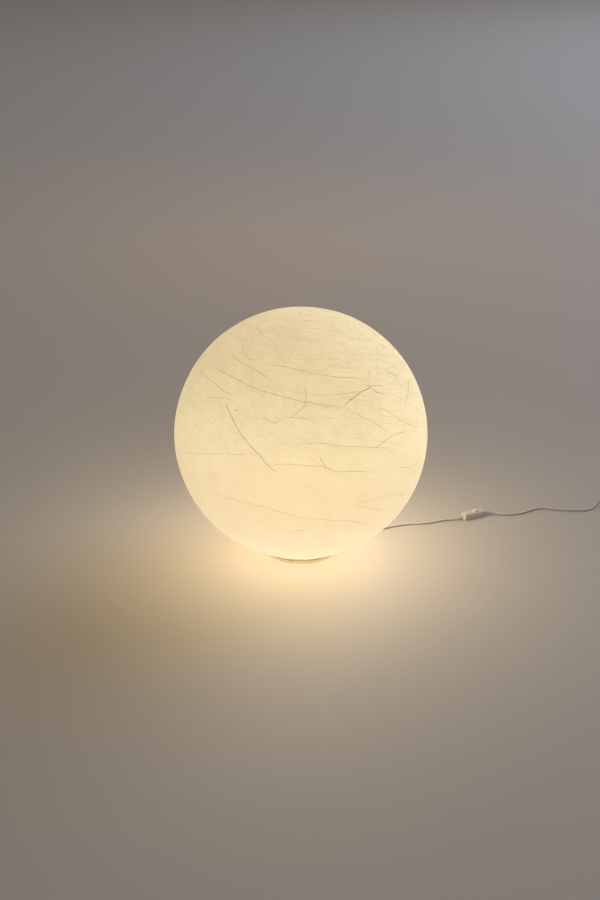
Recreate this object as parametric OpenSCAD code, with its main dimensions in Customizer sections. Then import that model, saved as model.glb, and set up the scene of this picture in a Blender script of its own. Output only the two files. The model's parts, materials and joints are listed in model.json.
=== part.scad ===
// Globe floor and table lamp: a rigid paper globe that lifts off a weighted metal base,
// a screw-in globe bulb on a short stem, and a lead with an in-line rocker switch and a plug.
// Millimetres, +Z up. The origin is the centre of the base at floor level.

/* [Globe] */
// Outer diameter of the paper globe
globe_d = 600; // [480:10:900]
// Thickness of the paper wall
paper_t = 2; // [1:0.25:3]
// Height of the globe's lowest point above the floor
globe_lift = 4; // [3.5:0.5:8]
// Gap that the glue fills between the collar and the paper
glue_gap = 0.15; // [0.1:0.05:0.4]

/* [Collar] */
// Wall of the metal collar in the globe's mouth
collar_t = 1.5; // [1:0.25:2.5]
// Running gap between the collar and the base pan
collar_gap = 0.5; // [0.3:0.05:0.8]
// Height of the collar's skirt
collar_h = 41; // [38:1:50]
// Width of the collar's glued flange
flange_w = 22; // [12:1:40]
// Number of spring clips round the collar
clip_count = 3; // [3:1:5]
// Width of a spring clip
clip_w = 10; // [7:0.5:14]
// Thickness of a spring clip
clip_t = 0.8; // [0.5:0.1:1.1]

/* [Base] */
// Outer diameter of the base pan
pan_d = 168; // [150:2:200]
// Height of the base pan from its lip to its top
pan_h = 36; // [34:1:44]
// Sheet thickness of the base pan
pan_t = 1.5; // [1:0.25:2]
// Width of the lip that the collar stands on
lip_w = 8; // [5:0.5:12]
// Thickness of the lip
lip_t = 2; // [1.5:0.1:2.1]
// Radius of the pan's rounded top edge
pan_round = 6; // [3:0.5:8]
// Thickness of the bottom cover
cover_t = 1.5; // [1:0.25:1.75]
// Diameter of the rubber feet
foot_d = 16; // [12:1:20]
// Height of the rubber feet
foot_h = 3; // [2.9:0.1:3.2]
// Height of the ballast ring
ballast_h = 16; // [12:0.5:17]
// Space between the ballast ring and the pan's wall
ballast_gap = 7.5; // [5:0.5:12]
// Bore of the ballast ring
ballast_bore_d = 44; // [36:1:48]

/* [Stem and lampholder] */
// Height of the stem tube
stem_h = 45; // [20:5:90]
// Outer diameter of the stem tube
stem_d = 14; // [12.5:0.5:17]
// Diameter of the hollow threaded rod
rod_d = 10; // [9:0.5:11]
// Bore of the hollow threaded rod
rod_bore_d = 7; // [6.2:0.1:7.4]
// Outer diameter of the lampholder's shell
holder_d = 43; // [40:0.5:50]
// Height of the lampholder
holder_h = 57; // [56:0.5:64]
// Depth of the lampholder's screw shell
socket_h = 25; // [23:0.5:27]

/* [Bulb] */
// Diameter of the opal bulb
bulb_d = 95; // [80:5:120]
// Wall of the opal bulb
bulb_t = 1.2; // [0.8:0.1:2]
// Pitch of the screw thread
thread_pitch = 3.629; // [3.4:0.05:3.8]
// Largest diameter of the bulb's screw cap
thread_d = 26.2; // [26:0.05:26.5]
// Depth of the rounded thread
thread_depth = 1.1; // [0.8:0.1:1.2]
// Running gap between the cap and the screw shell
thread_gap = 0.4; // [0.35:0.05:0.5]
// Turns that free the bulb from its holder
bulb_turns = 4; // [1:1:4]
// Light-emitting chips in the outer ring
chip_count = 14; // [8:1:18]

/* [Screws] */
// Diameter of the screws that hold the ballast
ballast_screw_d = 5; // [4:0.5:6]
// Diameter of the screws in the pillars
pillar_screw_d = 4; // [3:0.5:5]
// Diameter of the small screws that hold fittings
small_screw_d = 2.8; // [2.4:0.1:3]

/* [Lead] */
// Diameter of the round lead
lead_d = 5.2; // [4.8:0.1:5.2]
// Direction in which the lead leaves the base, from +X towards +Y
lead_angle = 26; // [26]
// Length of the tapered strain relief outside the base
relief_l = 32; // [32]
// Radius of the outermost turn of the coil, to the lead's centre
coil_r = 36; // [33:0.5:38]
// Gap between neighbouring turns of the coil
coil_gap = 0.7; // [0.6:0.05:0.9]
// Whole turns of the coil, besides the part turn that brings its end round to the plug
whole_turns = 5; // [3:1:5]

/* [Switch] */
// Length of the switch housing
switch_l = 62; // [58:1:70]
// Width of the switch housing
switch_w = 26; // [25:0.5:30]
// Height of the switch housing
switch_h = 16; // [15:0.5:18]
// Wall of the switch housing
switch_t = 1.8; // [1.4:0.1:2]
// Length of the rocker
rocker_l = 24; // [22:0.5:25]
// Width of the rocker
rocker_w = 12; // [11:0.25:12.5]
// Tilt of the rocker each side of level
rocker_tilt = 10; // [8:0.5:10]
// Tilt of the contact bar each side of level
bar_tilt = 8; // [7:0.5:8]

/* [Plug] */
// Width of the flat plug
plug_w = 35; // [33:0.5:37]
// Thickness of the flat plug
plug_t = 13.7; // [13.5:0.1:15]
// Length of the plug's body
plug_l = 34; // [30:1:38]
// Diameter of a plug pin
pin_d = 4; // [4]
// Distance between the plug's pins
pin_pitch = 18.6; // [17.5:0.1:19]

/* [Hidden] */
$fn = 96;
e = 0.01;          // overshoot of a cut past the face that it opens
side_gap = 0.3;    // clearance of a loose fit
bore_gap = 0.05;   // radial clearance of a close fit
screw_gap = 0.2;   // radial clearance round a screw

// Colours, as the photograph shows them or as such pieces usually are
paper_col = "#f6e3b4";
steel_col = "#e9e6df";
zinc_col = "#b9bcc0";
iron_col = "#4b4d50";
white_col = "#ece8de";
lead_col = "#8d8783";
switch_col = "#a59e93";
brass_col = "#c9a24a";
rubber_col = "#2b2b2c";
live_col = "#7a4a2b";
neutral_col = "#3c6fb0";

// Globe and collar
globe_r = globe_d / 2;
globe_z = globe_lift + globe_r;
pan_r = pan_d / 2;
skirt_r = pan_r + collar_gap;
mouth_r = skirt_r + collar_t + 0.2;
seam_z = globe_z;                           // the halves meet at the middle of the globe
lip_z = foot_h;
seat_z = lip_z + lip_t;                     // the collar stands here
pan_top = lip_z + pan_h;
skirt_top = seat_z + collar_h;
rivet_z = skirt_top - 3.5;
rivet_r = 1.55;
rivet_head_r = 2.8;
clip_nose_z = seat_z + 25;
clip_nose_r = 1.6;
flange_t = 1.5;
clip_angle = 60;                            // from the lead to the first clip

// Inside the base
ceiling_z = pan_top - pan_t;                // underside of the pan's top
ballast_z = ceiling_z - ballast_h;          // underside of the ballast
ballast_r = pan_r - pan_t - ballast_gap;
pillar_circle_r = pan_r - 34;
pillar_angle = 60;                          // from the lead to the first pillar
pillar_af = pillar_screw_d + 4;             // width across a pillar's flats
pillar_screw_l = 9;
ballast_screw_circle_r = pan_r - 24;
ballast_screw_angle = 0;
ballast_screw_l = 11.5;
foot_circle_r = pan_r - 18;
foot_angle = 45;
lead_z = 10.1;                              // height at which the lead leaves
clamp_s = pan_r - 19;                       // clamp's place along the lead
clamp_l = 10;
clamp_w = 27;
clamp_screw_t = 9;
tail_end = clamp_s - clamp_l / 2 - 3;       // inner end of the sheathed lead
block_s = clamp_s - 29;                     // terminal block's place along the lead
block_l = 18;
block_w = 19;
barrel_t = 4.5;                             // barrels lie this far each side
barrel_z = 14;
barrel_r = 2.3;
barrel_bore_r = 1.5;
core_r = 0.9;                               // radius of an insulated core

// Strain relief
relief_s = pan_r + 0.1;                     // its shoulder outside the wall
relief_end = relief_s + relief_l;
relief_r = 4.8;
relief_tip_r = 3.6;
relief_neck_r = 4.2;
relief_bore_r = lead_d / 2 + 0.15;

// Stem and lampholder
rod_r = rod_d / 2;
holder_z = pan_top + stem_h;
rod_bottom = ceiling_z - 8.5;
rod_top = holder_z + 9.5;
insert_z = holder_z + 18;
insert_top = insert_z + 11;
sleeve_top = insert_top + socket_h;
holder_r = holder_d / 2;
holder_cap_r = holder_r - 2;                // outside of the lower half
insert_r = holder_cap_r - 2.3;              // ceramic block
sheet_t = 0.6;                              // screw shell's sheet
thread_minor_r = thread_d / 2 - thread_depth;
sleeve_minor_r = thread_minor_r + thread_gap;
sleeve_major_r = thread_d / 2 + thread_gap;
sleeve_bore_r = sleeve_major_r + sheet_t + side_gap;

// Bulb, measured up from its centre contact
tip_z = insert_top + 3.7;
bulb_r = bulb_d / 2;
cap_z = 4.7;
cap_top = 27;
cap_skirt_z = 22;
cap_skirt_r = thread_d / 2 + 0.1;
housing_top = 61;
housing_rim_r = 35.5;
housing_t = 1.6;
globe_centre = housing_top + sqrt(pow(bulb_r, 2) - pow(housing_rim_r, 2));
board_z = 57;
board_t = 1.6;

// Switch
switch_at = [442.5, 171.5, 0];              // its centre on the floor
switch_turn = 24;
part_z = 7.5;                               // height of the split between its halves
pivot_z = switch_h - 4;
switch_round = 5;
foot_inset = 1.2;                           // the sides lean in by this from the split to the foot
side_inset = 0.8;                           // and by this from the split to the top's edge
edge_inset = 1.4;                           // the edge itself leans in by this
edge_h = 2.5;                               // over this height
stub_x = 23;                                // ends of the lead inside the housing
terminal_x = 17;
bar_z = 4.4;
strip_t = 0.8;
ridge_r = 0.3;                              // the bar's ridge, and its rest under it
rest_top = bar_z - ridge_r - bore_gap;
boss_r = 3.2;
boss_at = [switch_l / 2 - 9, switch_w / 2 - switch_t - 2.8];
core_y = switch_w / 2 - switch_t - 2;       // the neutral core's way past the works
trunnion_r = 1.5;
reach = pivot_z - bar_z - 1;                // from the pivot to the plunger's tip
plunger_r = 1.9;
plunger_l = 3;

// Lead
lead_r = lead_d / 2;
tie_t = 0.8;
tie_w = 9;
layer_step = lead_d + coil_gap;
coil_at = [846, 262];                       // centre of the coil
coil_start = 100;                           // angle at which the lead joins the coil; it leaves at 0
climb = 0.5;                                // part of a turn in which it climbs to the upper layer
coil_turns = whole_turns + coil_start / 360;
layer_turns = (coil_turns - climb) / 2;
coil_low = tie_t + 0.2 + lead_r;            // centre height of the lower layer
coil_in = coil_r - layer_step * layer_turns;
coil_dip = 1.3;                             // the climbing half turn draws in by this
coil_rings = round(24 * coil_turns);        // 24 rings to a turn

// The lead's route, chosen by hand. The third number is the gap under it. Relief to switch:
route_to_switch = [
    [126, 61, 6.3], [136, 66, 4.5], [147, 72, 2.4], [159, 78, 0.8], [172, 84, 0.1],
    [190, 92, 0], [211, 102, 0], [226, 110, 0], [239, 115, 0], [252, 120, 0],
    [265, 124, 0], [278, 127, 0], [291, 128, 0], [303, 129, 0], [316, 131, 0],
    [329, 134, 0], [343, 139, 0], [356, 145, 0], [366, 149, 0.1], [376, 151.5, 0.3],
    [386, 152.3, 0.9], [395, 152.5, 1.9], [403.5, 154.3, 3.4]
];
// Switch to coil
route_to_coil = [
    [481, 188.5, 4.5], [489, 190.8, 3.4], [497, 190.6, 2.3], [505, 188.3, 1.3], [513, 185.8, 0.5],
    [520, 184.4, 0.1], [530, 183.8, 0], [545, 184, 0], [557, 185.5, 0], [569, 189, 0],
    [580, 195, 0], [591, 203, 0], [602, 211, 0], [614, 217.5, 0], [627, 221, 0],
    [640, 221.5, 0], [654, 218.5, 0], [669, 214, 0], [684, 211, 0], [698, 209.5, 0],
    [712, 208.5, 0], [726, 208, 0], [739, 208.5, 0], [750, 212.5, 0], [759, 220, 0],
    [766, 230, 0], [773, 243, 0], [780, 257, 0], [787, 270, 0.1], [796, 281, 0.3],
    [806, 289.5, 0.6], [818, 295, 0.9]
];
// Coil to plug
route_to_plug = [
    [882.3, 246, 6.6], [883.1, 234, 5.7], [883.8, 223, 4.7]
];
plug_at = [884, 184, 0];                    // middle of the plug's rear face
plug_turn = -90;                            // direction in which the pins point
boot_l = 26;
pin_core_r = pin_d / 2 - 0.5;
pin_sleeve_r = pin_d / 2 - 0.25;
pin_sleeve_l = 10;                          // length of a sleeve outside the plug

// ---------- helpers ----------

// Places children along the lead inside the base: x runs outwards, y across
module along_lead() rotate([0, 0, lead_angle]) children();

// Places children round the axis, the first one at an angle from the lead
module ring_of(n, radius, start) {
    for (i = [0:n - 1]) rotate([0, 0, lead_angle + start + i * 360 / n]) translate([radius, 0, 0]) children();
}

// A tube or rod along Z
module tube(r, bore, h) {
    difference() {
        cylinder(r=r, h=h);
        translate([0, 0, -e]) cylinder(r=bore, h=h + 2 * e);
    }
}

// A cross-slotted pan-head screw of radius r, with the seat of its head at z = 0 and its shank below
module pan_screw(r, length) {
    head_r = 1.84 * r;
    head_h = 1.12 * r;
    difference() {
        union() {
            cylinder(r=head_r, h=head_h * 0.6);
            translate([0, 0, head_h * 0.6]) cylinder(r1=head_r, r2=head_r * 0.7, h=head_h * 0.4);
            translate([0, 0, -length]) cylinder(r=r, h=length + e);
        }
        for (a = [0, 90]) rotate([0, 0, a])
            translate([-head_r * 0.55, -head_r * 0.11, head_h * 0.45])
                cube([head_r * 1.1, head_r * 0.22, head_h]);
    }
}

// A box with rounded corners, seen from above
module round_slab(l, w, h, r) {
    linear_extrude(h) {
        square([l - 2 * r, w], center=true);
        square([l, w - 2 * r], center=true);
        for (x = [-1, 1], y = [-1, 1]) translate([x * (l / 2 - r), y * (w / 2 - r)]) circle(r=r, $fn=32);
    }
}

// Height of a sphere's lower surface at a distance from the axis
function bowl(r, rho) = globe_z - sqrt(r * r - rho * rho);

function unit(v) = v / norm(v);

// Direction of a path at its i-th point, with its ends' own directions if they are given
function heading(p, i, first, last) =
    i == 0 ? (first ? unit(first) : unit(p[1] - p[0])) :
    i == len(p) - 1 ? (last ? unit(last) : unit(p[i] - p[i - 1])) :
    unit(p[i + 1] - p[i - 1]);

// A solid tube swept along points. side_axis is never parallel to the path.
module sweep(p, r, sides, side_axis, first=false, last=false) {
    n = len(p);
    rings = [
        for (i = [0:n - 1])
            let (t = heading(p, i, first, last), u = unit(cross(side_axis, t)), v = cross(t, u))
            for (k = [0:sides - 1])
                let (a = 360 * k / sides)
                p[i] + r * (cos(a) * u + sin(a) * v)
    ];
    walls = [
        for (i = [0:n - 2], k = [0:sides - 1])
            let (a = i * sides + k, b = i * sides + (k + 1) % sides)
            each [[a, a + sides, b + sides], [a, b + sides, b]]
    ];
    start = [for (k = [1:sides - 2]) [0, k, k + 1]];
    tail = (n - 1) * sides;
    end = [for (k = [1:sides - 2]) [tail, tail + k + 1, tail + k]];
    polyhedron(rings, concat(walls, start, end), convexity=10);
}

// Distance of the closest two points of a path that are at least `apart` steps away from each other
function least_gap(p, apart) =
    min([for (i = [0:len(p) - 1 - apart]) min([for (j = [i + apart:len(p) - 1]) norm(p[i] - p[j])])]);

// ---------- globe and collar ----------

// Half of the paper globe, above or below the seam where the two halves are glued together
module paper_half(upper) {
    color(paper_col) difference() {
        translate([0, 0, globe_z]) sphere(r=globe_r, $fn=144);
        translate([0, 0, globe_z]) sphere(r=globe_r - paper_t, $fn=144);
        translate([0, 0, globe_z - globe_r - 1]) cylinder(r=mouth_r, h=globe_r);
        translate([-globe_r - 1, -globe_r - 1, upper ? seam_z - globe_d : seam_z])
            cube([globe_d + 2, globe_d + 2, globe_d]);
    }
}

module globe_upper() paper_half(true);

module globe_lower() paper_half(false);

// Skirt and glued flange in one outline, turned about the axis
module collar_profile() {
    out_r = globe_r - paper_t - glue_gap;
    in_r = out_r - flange_t;
    root = skirt_r + collar_t;
    steps = 6;
    polygon(concat(
        [[skirt_r, seat_z], [root, seat_z]],
        [for (i = [0:steps]) let (rho = root + flange_w * i / steps) [rho, bowl(out_r, rho)]],
        [for (i = [steps:-1:0]) let (rho = root + flange_w * i / steps) [rho, bowl(in_r, rho)]],
        [[root, skirt_top], [skirt_r, skirt_top]]
    ));
}

notch_r = relief_r + 0.8;                   // the collar's notch clears the strain relief

module collar_ring() {
    color(steel_col) difference() {
        rotate_extrude() collar_profile();
        along_lead() translate([pan_r - 5, 0, lead_z]) {
            rotate([0, 90, 0]) cylinder(r=notch_r, h=20);
            translate([0, -notch_r, -lead_z]) cube([20, 2 * notch_r, lead_z]);
        }
        ring_of(clip_count, skirt_r, clip_angle)
            translate([-3, -clip_w / 2 - 0.5, clip_nose_z - clip_nose_r - 0.6])
                cube([8, clip_w + 1, 2 * clip_nose_r + 1.2]);
        ring_of(clip_count, skirt_r, clip_angle) translate([-3, 0, rivet_z])
            rotate([0, 90, 0]) cylinder(r=rivet_r + bore_gap, h=8);
    }
}

leaf_s = skirt_r + collar_t + bore_gap;     // inner face of a clip's leaf

// Leaf springs on the collar's outside, whose noses reach through windows to the pan
module spring_clips() {
    nose_s = pan_r + collar_gap / 2 + clip_nose_r;
    color(zinc_col) ring_of(clip_count, 0, clip_angle) difference() {
        union() {
            translate([leaf_s, -clip_w / 2, clip_nose_z - 6])
                cube([clip_t, clip_w, rivet_z + 3 - clip_nose_z + 6]);
            translate([nose_s, clip_w / 2, clip_nose_z]) rotate([90, 0, 0])
                cylinder(r=clip_nose_r, h=clip_w);
            translate([nose_s, -clip_w / 2, clip_nose_z - clip_nose_r])
                cube([leaf_s + clip_t - nose_s, clip_w, 2 * clip_nose_r]);
        }
        translate([leaf_s - 1, 0, rivet_z]) rotate([0, 90, 0]) cylinder(r=rivet_r + bore_gap, h=clip_t + 2);
    }
}

module clip_rivets() {
    head_s = leaf_s + clip_t + bore_gap;
    color(zinc_col) ring_of(clip_count, 0, clip_angle) translate([0, 0, rivet_z]) rotate([0, 90, 0]) {
        translate([0, 0, skirt_r - 0.8]) cylinder(r=rivet_head_r, h=0.75);
        translate([0, 0, skirt_r - 0.7]) cylinder(r=rivet_r, h=head_s + 0.7 - skirt_r + e);
        translate([0, 0, head_s]) cylinder(r1=rivet_head_r, r2=rivet_head_r - 1, h=1.2);
    }
}

// ---------- base ----------

// Spun pan: lip, wall, rounded shoulder and flat top
module pan_profile() {
    inner = pan_r - pan_t;
    shoulder = pan_r - pan_round;
    in_round = pan_round - pan_t;
    arc = [0:15:90];
    polygon(concat(
        [[inner, lip_z], [pan_r + lip_w, lip_z], [pan_r + lip_w, seat_z], [pan_r, seat_z]],
        [for (a = arc) [shoulder + pan_round * cos(a), pan_top - pan_round + pan_round * sin(a)]],
        [[rod_r + 0.2, pan_top], [rod_r + 0.2, ceiling_z]],
        [for (a = arc) [shoulder + in_round * sin(a), pan_top - pan_round + in_round * cos(a)]]
    ));
}

module base_pan() {
    color(steel_col) difference() {
        rotate_extrude() pan_profile();
        along_lead() translate([pan_r - 8, 0, lead_z]) rotate([0, 90, 0]) cylinder(r=relief_neck_r + screw_gap, h=12);
        ring_of(3, pillar_circle_r, pillar_angle) translate([0, 0, ceiling_z - 1])
            cylinder(r=pillar_screw_d / 2 + screw_gap, h=pan_t + 2);
        ring_of(3, ballast_screw_circle_r, ballast_screw_angle) translate([0, 0, ceiling_z - 1])
            cylinder(r=ballast_screw_d / 2 + screw_gap, h=pan_t + 2);
    }
}

module bottom_cover() {
    cover_r = pan_r - pan_t - side_gap;
    color(steel_col) difference() {
        translate([0, 0, lip_z]) cylinder(r=cover_r, h=cover_t);
        ring_of(3, pillar_circle_r, pillar_angle) translate([0, 0, lip_z - 1])
            cylinder(r=pillar_screw_d / 2 + screw_gap, h=cover_t + 2);
    }
}

module cover_screws() {
    color(zinc_col) ring_of(3, pillar_circle_r, pillar_angle) translate([0, 0, lip_z]) mirror([0, 0, 1])
        pan_screw(pillar_screw_d / 2, pillar_screw_l);
}

module foot_pads() {
    color(rubber_col) ring_of(4, foot_circle_r, foot_angle) {
        cylinder(r1=foot_d / 2 - 0.7, r2=foot_d / 2, h=0.7);
        translate([0, 0, 0.7]) cylinder(d=foot_d, h=foot_h - 0.7);
    }
}

module ballast_ring() {
    color(iron_col) difference() {
        translate([0, 0, ballast_z]) cylinder(r=ballast_r, h=ballast_h);
        translate([0, 0, ballast_z - 1]) cylinder(d=ballast_bore_d, h=ballast_h + 2);
        ring_of(3, pillar_circle_r, pillar_angle) translate([0, 0, ballast_z - 1])
            cylinder(r=pillar_af / 2 / cos(30) + 0.6, h=ballast_h + 2);
        ring_of(3, ballast_screw_circle_r, ballast_screw_angle) translate([0, 0, pan_top - ballast_screw_l - 0.5])
            cylinder(r=ballast_screw_d / 2 + 0.1, h=ballast_screw_l);
        along_lead() for (at = [[clamp_s, clamp_screw_t], [clamp_s, -clamp_screw_t], [block_s, 0]])
            translate([at[0], at[1], ballast_z - 1]) cylinder(r=screw_hole_r, h=7);
    }
}

module ballast_screws() {
    color(zinc_col) ring_of(3, ballast_screw_circle_r, ballast_screw_angle) translate([0, 0, pan_top])
        pan_screw(ballast_screw_d / 2, ballast_screw_l);
}

// Hexagonal pillars between the pan's top and the bottom cover
module support_pillars() {
    pillar_z = lip_z + cover_t;
    hole_r = pillar_screw_d / 2 + bore_gap;
    color(zinc_col) ring_of(3, pillar_circle_r, pillar_angle) difference() {
        translate([0, 0, pillar_z]) cylinder(d=pillar_af / cos(30), h=ceiling_z - pillar_z, $fn=6);
        translate([0, 0, lip_z]) cylinder(r=hole_r, h=pillar_screw_l + 1);
        translate([0, 0, pan_top - pillar_screw_l - 1]) cylinder(r=hole_r, h=pillar_screw_l + 1);
    }
}

module pillar_screws() {
    color(zinc_col) ring_of(3, pillar_circle_r, pillar_angle) translate([0, 0, pan_top])
        pan_screw(pillar_screw_d / 2, pillar_screw_l);
}

// Ribbed and tapered nylon boot: a flange inside the wall, a neck through it
module strain_relief() {
    ribs = 6;
    rib_step = (relief_l - 8) / ribs;
    function boot_r(s) = relief_r + (relief_tip_r - relief_r) * s / relief_l;
    color(lead_col) along_lead() translate([0, 0, lead_z]) rotate([0, 90, 0]) difference() {
        union() {
            translate([0, 0, pan_r - pan_t - 3]) cylinder(r=relief_neck_r + 1.1, h=2.4);
            translate([0, 0, pan_r - pan_t - 1]) cylinder(r=relief_neck_r, h=pan_t + 3);
            translate([0, 0, relief_s]) cylinder(r1=relief_r, r2=relief_tip_r, h=relief_l);
        }
        translate([0, 0, pan_r - pan_t - 4]) cylinder(r=relief_bore_r, h=relief_l + pan_t + 6);
        for (i = [0:ribs - 1]) translate([0, 0, relief_s + 6 + i * rib_step]) difference() {
            cylinder(r=relief_r + 1, h=1.4);
            translate([0, 0, -1]) cylinder(r=boot_r(6 + i * rib_step) - 0.8, h=4);
        }
    }
}

module lead_tail() {
    color(lead_col) along_lead() translate([tail_end, 0, lead_z]) rotate([0, 90, 0])
        cylinder(r=lead_r, h=relief_end - tail_end);
}

clamp_split = lead_z - 0.3;                 // the clamp's halves meet just under the lead's middle
screw_hole_r = small_screw_d / 2 + screw_gap;

module clamp_block() {
    color(white_col) along_lead() difference() {
        translate([clamp_s - clamp_l / 2, -clamp_w / 2, clamp_split + 0.6])
            cube([clamp_l, clamp_w, ballast_z - clamp_split - 0.6]);
        translate([clamp_s - clamp_l, 0, lead_z]) rotate([0, 90, 0]) cylinder(r=lead_r + bore_gap, h=2 * clamp_l);
        for (t = [-1, 1]) translate([clamp_s, t * clamp_screw_t, 0])
            cylinder(r=screw_hole_r, h=ballast_z + 1);
    }
}

module clamp_bar() {
    bar_bottom = lip_z + cover_t + 0.4;
    color(white_col) along_lead() difference() {
        translate([clamp_s - clamp_l / 2, -clamp_w / 2, bar_bottom])
            cube([clamp_l, clamp_w, clamp_split - bar_bottom]);
        translate([clamp_s - clamp_l, 0, lead_z]) rotate([0, 90, 0]) cylinder(r=lead_r + bore_gap, h=2 * clamp_l);
        for (t = [-1, 1]) translate([clamp_s, t * clamp_screw_t, 0]) {
            cylinder(r=screw_hole_r, h=ballast_z);
            cylinder(r=small_screw_d + screw_gap, h=bar_bottom + 2);
        }
    }
}

// Two screws hold the clamp and one holds the terminal block, all up into the ballast
module fixing_screws() {
    color(zinc_col) along_lead() {
        for (t = [-1, 1]) translate([clamp_s, t * clamp_screw_t, lip_z + cover_t + 2.4]) mirror([0, 0, 1])
            pan_screw(small_screw_d / 2, ballast_z - lip_z - cover_t + 2.4);
        translate([block_s, 0, barrel_z - 4.5]) mirror([0, 0, 1])
            pan_screw(small_screw_d / 2, ballast_z - barrel_z + 9);
    }
}

module terminal_block() {
    bottom = barrel_z - 4.5;
    color(white_col) along_lead() difference() {
        translate([block_s - block_l / 2, -block_w / 2, bottom]) cube([block_l, block_w, ballast_z - bottom]);
        for (t = [-1, 1]) {
            translate([block_s - block_l, t * barrel_t, barrel_z]) rotate([0, 90, 0])
                cylinder(r=barrel_r + 0.1, h=2 * block_l);
            for (s = [-1, 1]) translate([block_s + s * 4.5, t * barrel_t, bottom - 1])
                cylinder(r=1.6, h=barrel_z - bottom);
        }
        translate([block_s, 0, bottom - 1]) cylinder(r=screw_hole_r, h=ballast_z);
        for (t = [-1, 1]) translate([block_s - block_l, t * (block_w / 2 + 0.6), bottom - 1])
            cylinder(r=1.2, h=ballast_z);
    }
}

module terminal_barrels() {
    color(brass_col) along_lead() for (t = [-1, 1]) difference() {
        translate([block_s - block_l / 2 + 1, t * barrel_t, barrel_z]) rotate([0, 90, 0])
            tube(barrel_r, barrel_bore_r, block_l - 2);
        for (s = [-1, 1]) translate([block_s + s * 4.5, t * barrel_t, barrel_z - 4]) cylinder(r=1.35, h=4);
    }
}

module terminal_screws() {
    color(zinc_col) along_lead() for (t = [-1, 1], s = [-1, 1])
        translate([block_s + s * 4.5, t * barrel_t, barrel_z - 4.3]) difference() {
            cylinder(r=1.25, h=4.3 - core_r - 0.1);
            translate([-2, -0.2, -e]) cube([4, 0.4, 0.7]);
        }
}

// A core from the lead to its barrel, and a wire from the barrel up the rod to the lampholder.
// side is +1 or -1, the barrel's side of the lead.
module core_pair(side) {
    rod_t = side * 1.3;
    across = [0, 1, 0];
    supply = [
        [tail_end, side * 1.2, lead_z], [tail_end - 3, side * 1.3, lead_z + 0.2],
        [tail_end - 6, side * 2.2, lead_z + 1.4], [tail_end - 9, side * 3.6, barrel_z - 1],
        [tail_end - 12, side * barrel_t, barrel_z], [block_s + 7, side * barrel_t, barrel_z],
        [block_s + 2, side * barrel_t, barrel_z]
    ];
    inner = block_s - block_l / 2;          // the block's face towards the rod
    lamp = [
        [block_s - 2, side * barrel_t, barrel_z], [inner + 1, side * barrel_t, barrel_z],
        [inner * 0.85, side * barrel_t, barrel_z + 0.2], [inner * 0.66, side * 4, barrel_z + 1.4],
        [inner * 0.48, side * 3.2, barrel_z + 4], [inner * 0.3, side * 2.3, barrel_z + 7.5],
        [inner * 0.15, side * 1.6, rod_bottom - 4], [1.2, rod_t, rod_bottom - 1], [0, rod_t, rod_bottom + 4],
        [0, rod_t, (rod_bottom + rod_top) / 2], [0, rod_t, rod_top - 3], [0, side * 1.6, rod_top + 1],
        [0, side * 3, rod_top + 3.4], [0, side * 5.2, rod_top + 5.3], [0, side * 8, rod_top + 5.9]
    ];
    along_lead() {
        sweep(supply, core_r, 8, across, first=[-1, 0, 0], last=[-1, 0, 0]);
        sweep([for (i = [0:8]) lamp[i]], core_r, 8, across, first=[-1, 0, 0], last=[0, 0, 1]);
        sweep([for (i = [8:14]) lamp[i]], core_r, 8, [1, 0, 0], first=[0, 0, 1]);
    }
}

module live_wires() color(live_col) core_pair(1);
module neutral_wires() color(neutral_col) core_pair(-1);

// ---------- stem and lampholder ----------

module threaded_rod() {
    color(zinc_col) translate([0, 0, rod_bottom]) tube(rod_r, rod_bore_d / 2, rod_top - rod_bottom);
}

module rod_nut() {
    color(zinc_col) translate([0, 0, ceiling_z - 1 - 4]) difference() {
        cylinder(d=(rod_d + 4) / cos(30), h=4, $fn=6);
        translate([0, 0, -1]) cylinder(r=rod_r + bore_gap, h=6);
    }
}

module rod_washer() {
    color(zinc_col) translate([0, 0, ceiling_z - 1]) tube(rod_r + 5, rod_r + 0.2, 1);
}

module stem_tube() {
    color(steel_col) translate([0, 0, pan_top]) tube(stem_d / 2, rod_r + side_gap, stem_h);
}

// Lower half of the lampholder, screwed on the rod
module holder_cap() {
    color(white_col) translate([0, 0, holder_z]) rotate_extrude() polygon([
        [rod_r + 0.15, 0], [9, 0], [9, 7], [11, 9], [holder_cap_r, 16], [holder_cap_r, 26],
        [insert_r + side_gap, 26], [insert_r + side_gap, 18], [insert_r - 1.7, 18], [11, 12], [11, 11],
        [rod_r + 0.15, 11]
    ]);
}

// Ceramic block that carries the contacts
module holder_insert() {
    color(white_col) difference() {
        union() {
            translate([0, 0, insert_z]) cylinder(r=insert_r, h=8);
            translate([0, 0, insert_z + 8 - e]) cylinder(r=sleeve_bore_r - 0.2, h=insert_top - insert_z - 8 + e);
        }
        along_lead() for (t = [-9, 9]) translate([0, t, insert_z - 1]) cylinder(r=small_screw_d / 2 + 0.1, h=7.5);
    }
}

module holder_terminal_screws() {
    color(brass_col) along_lead() for (t = [-9, 9]) translate([0, t, insert_z]) mirror([0, 0, 1])
        pan_screw(small_screw_d / 2, 6);
}

// Sprung brass tongue under the bulb's centre contact
module centre_contact() {
    color(brass_col) translate([0, 2.5, insert_top]) rotate([90, 0, 0]) linear_extrude(5) polygon([
        [-5, 0], [5, 0], [5, 0.6], [-1, 0.6], [3, 2.8], [3, 3.4], [1, 3.4], [-5, 0.6]
    ]);
}

// Radius of a rounded thread at an angle and height. Its ridges fade out over 2.5 mm at z0 and z1.
function thread_wave(a, z) = (1 + cos(360 * z / thread_pitch - a)) / 2;
function fade(z, z0, z1) = max(0, min(1, (z - z0) / 2.5, (z1 - z) / 2.5));

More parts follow.
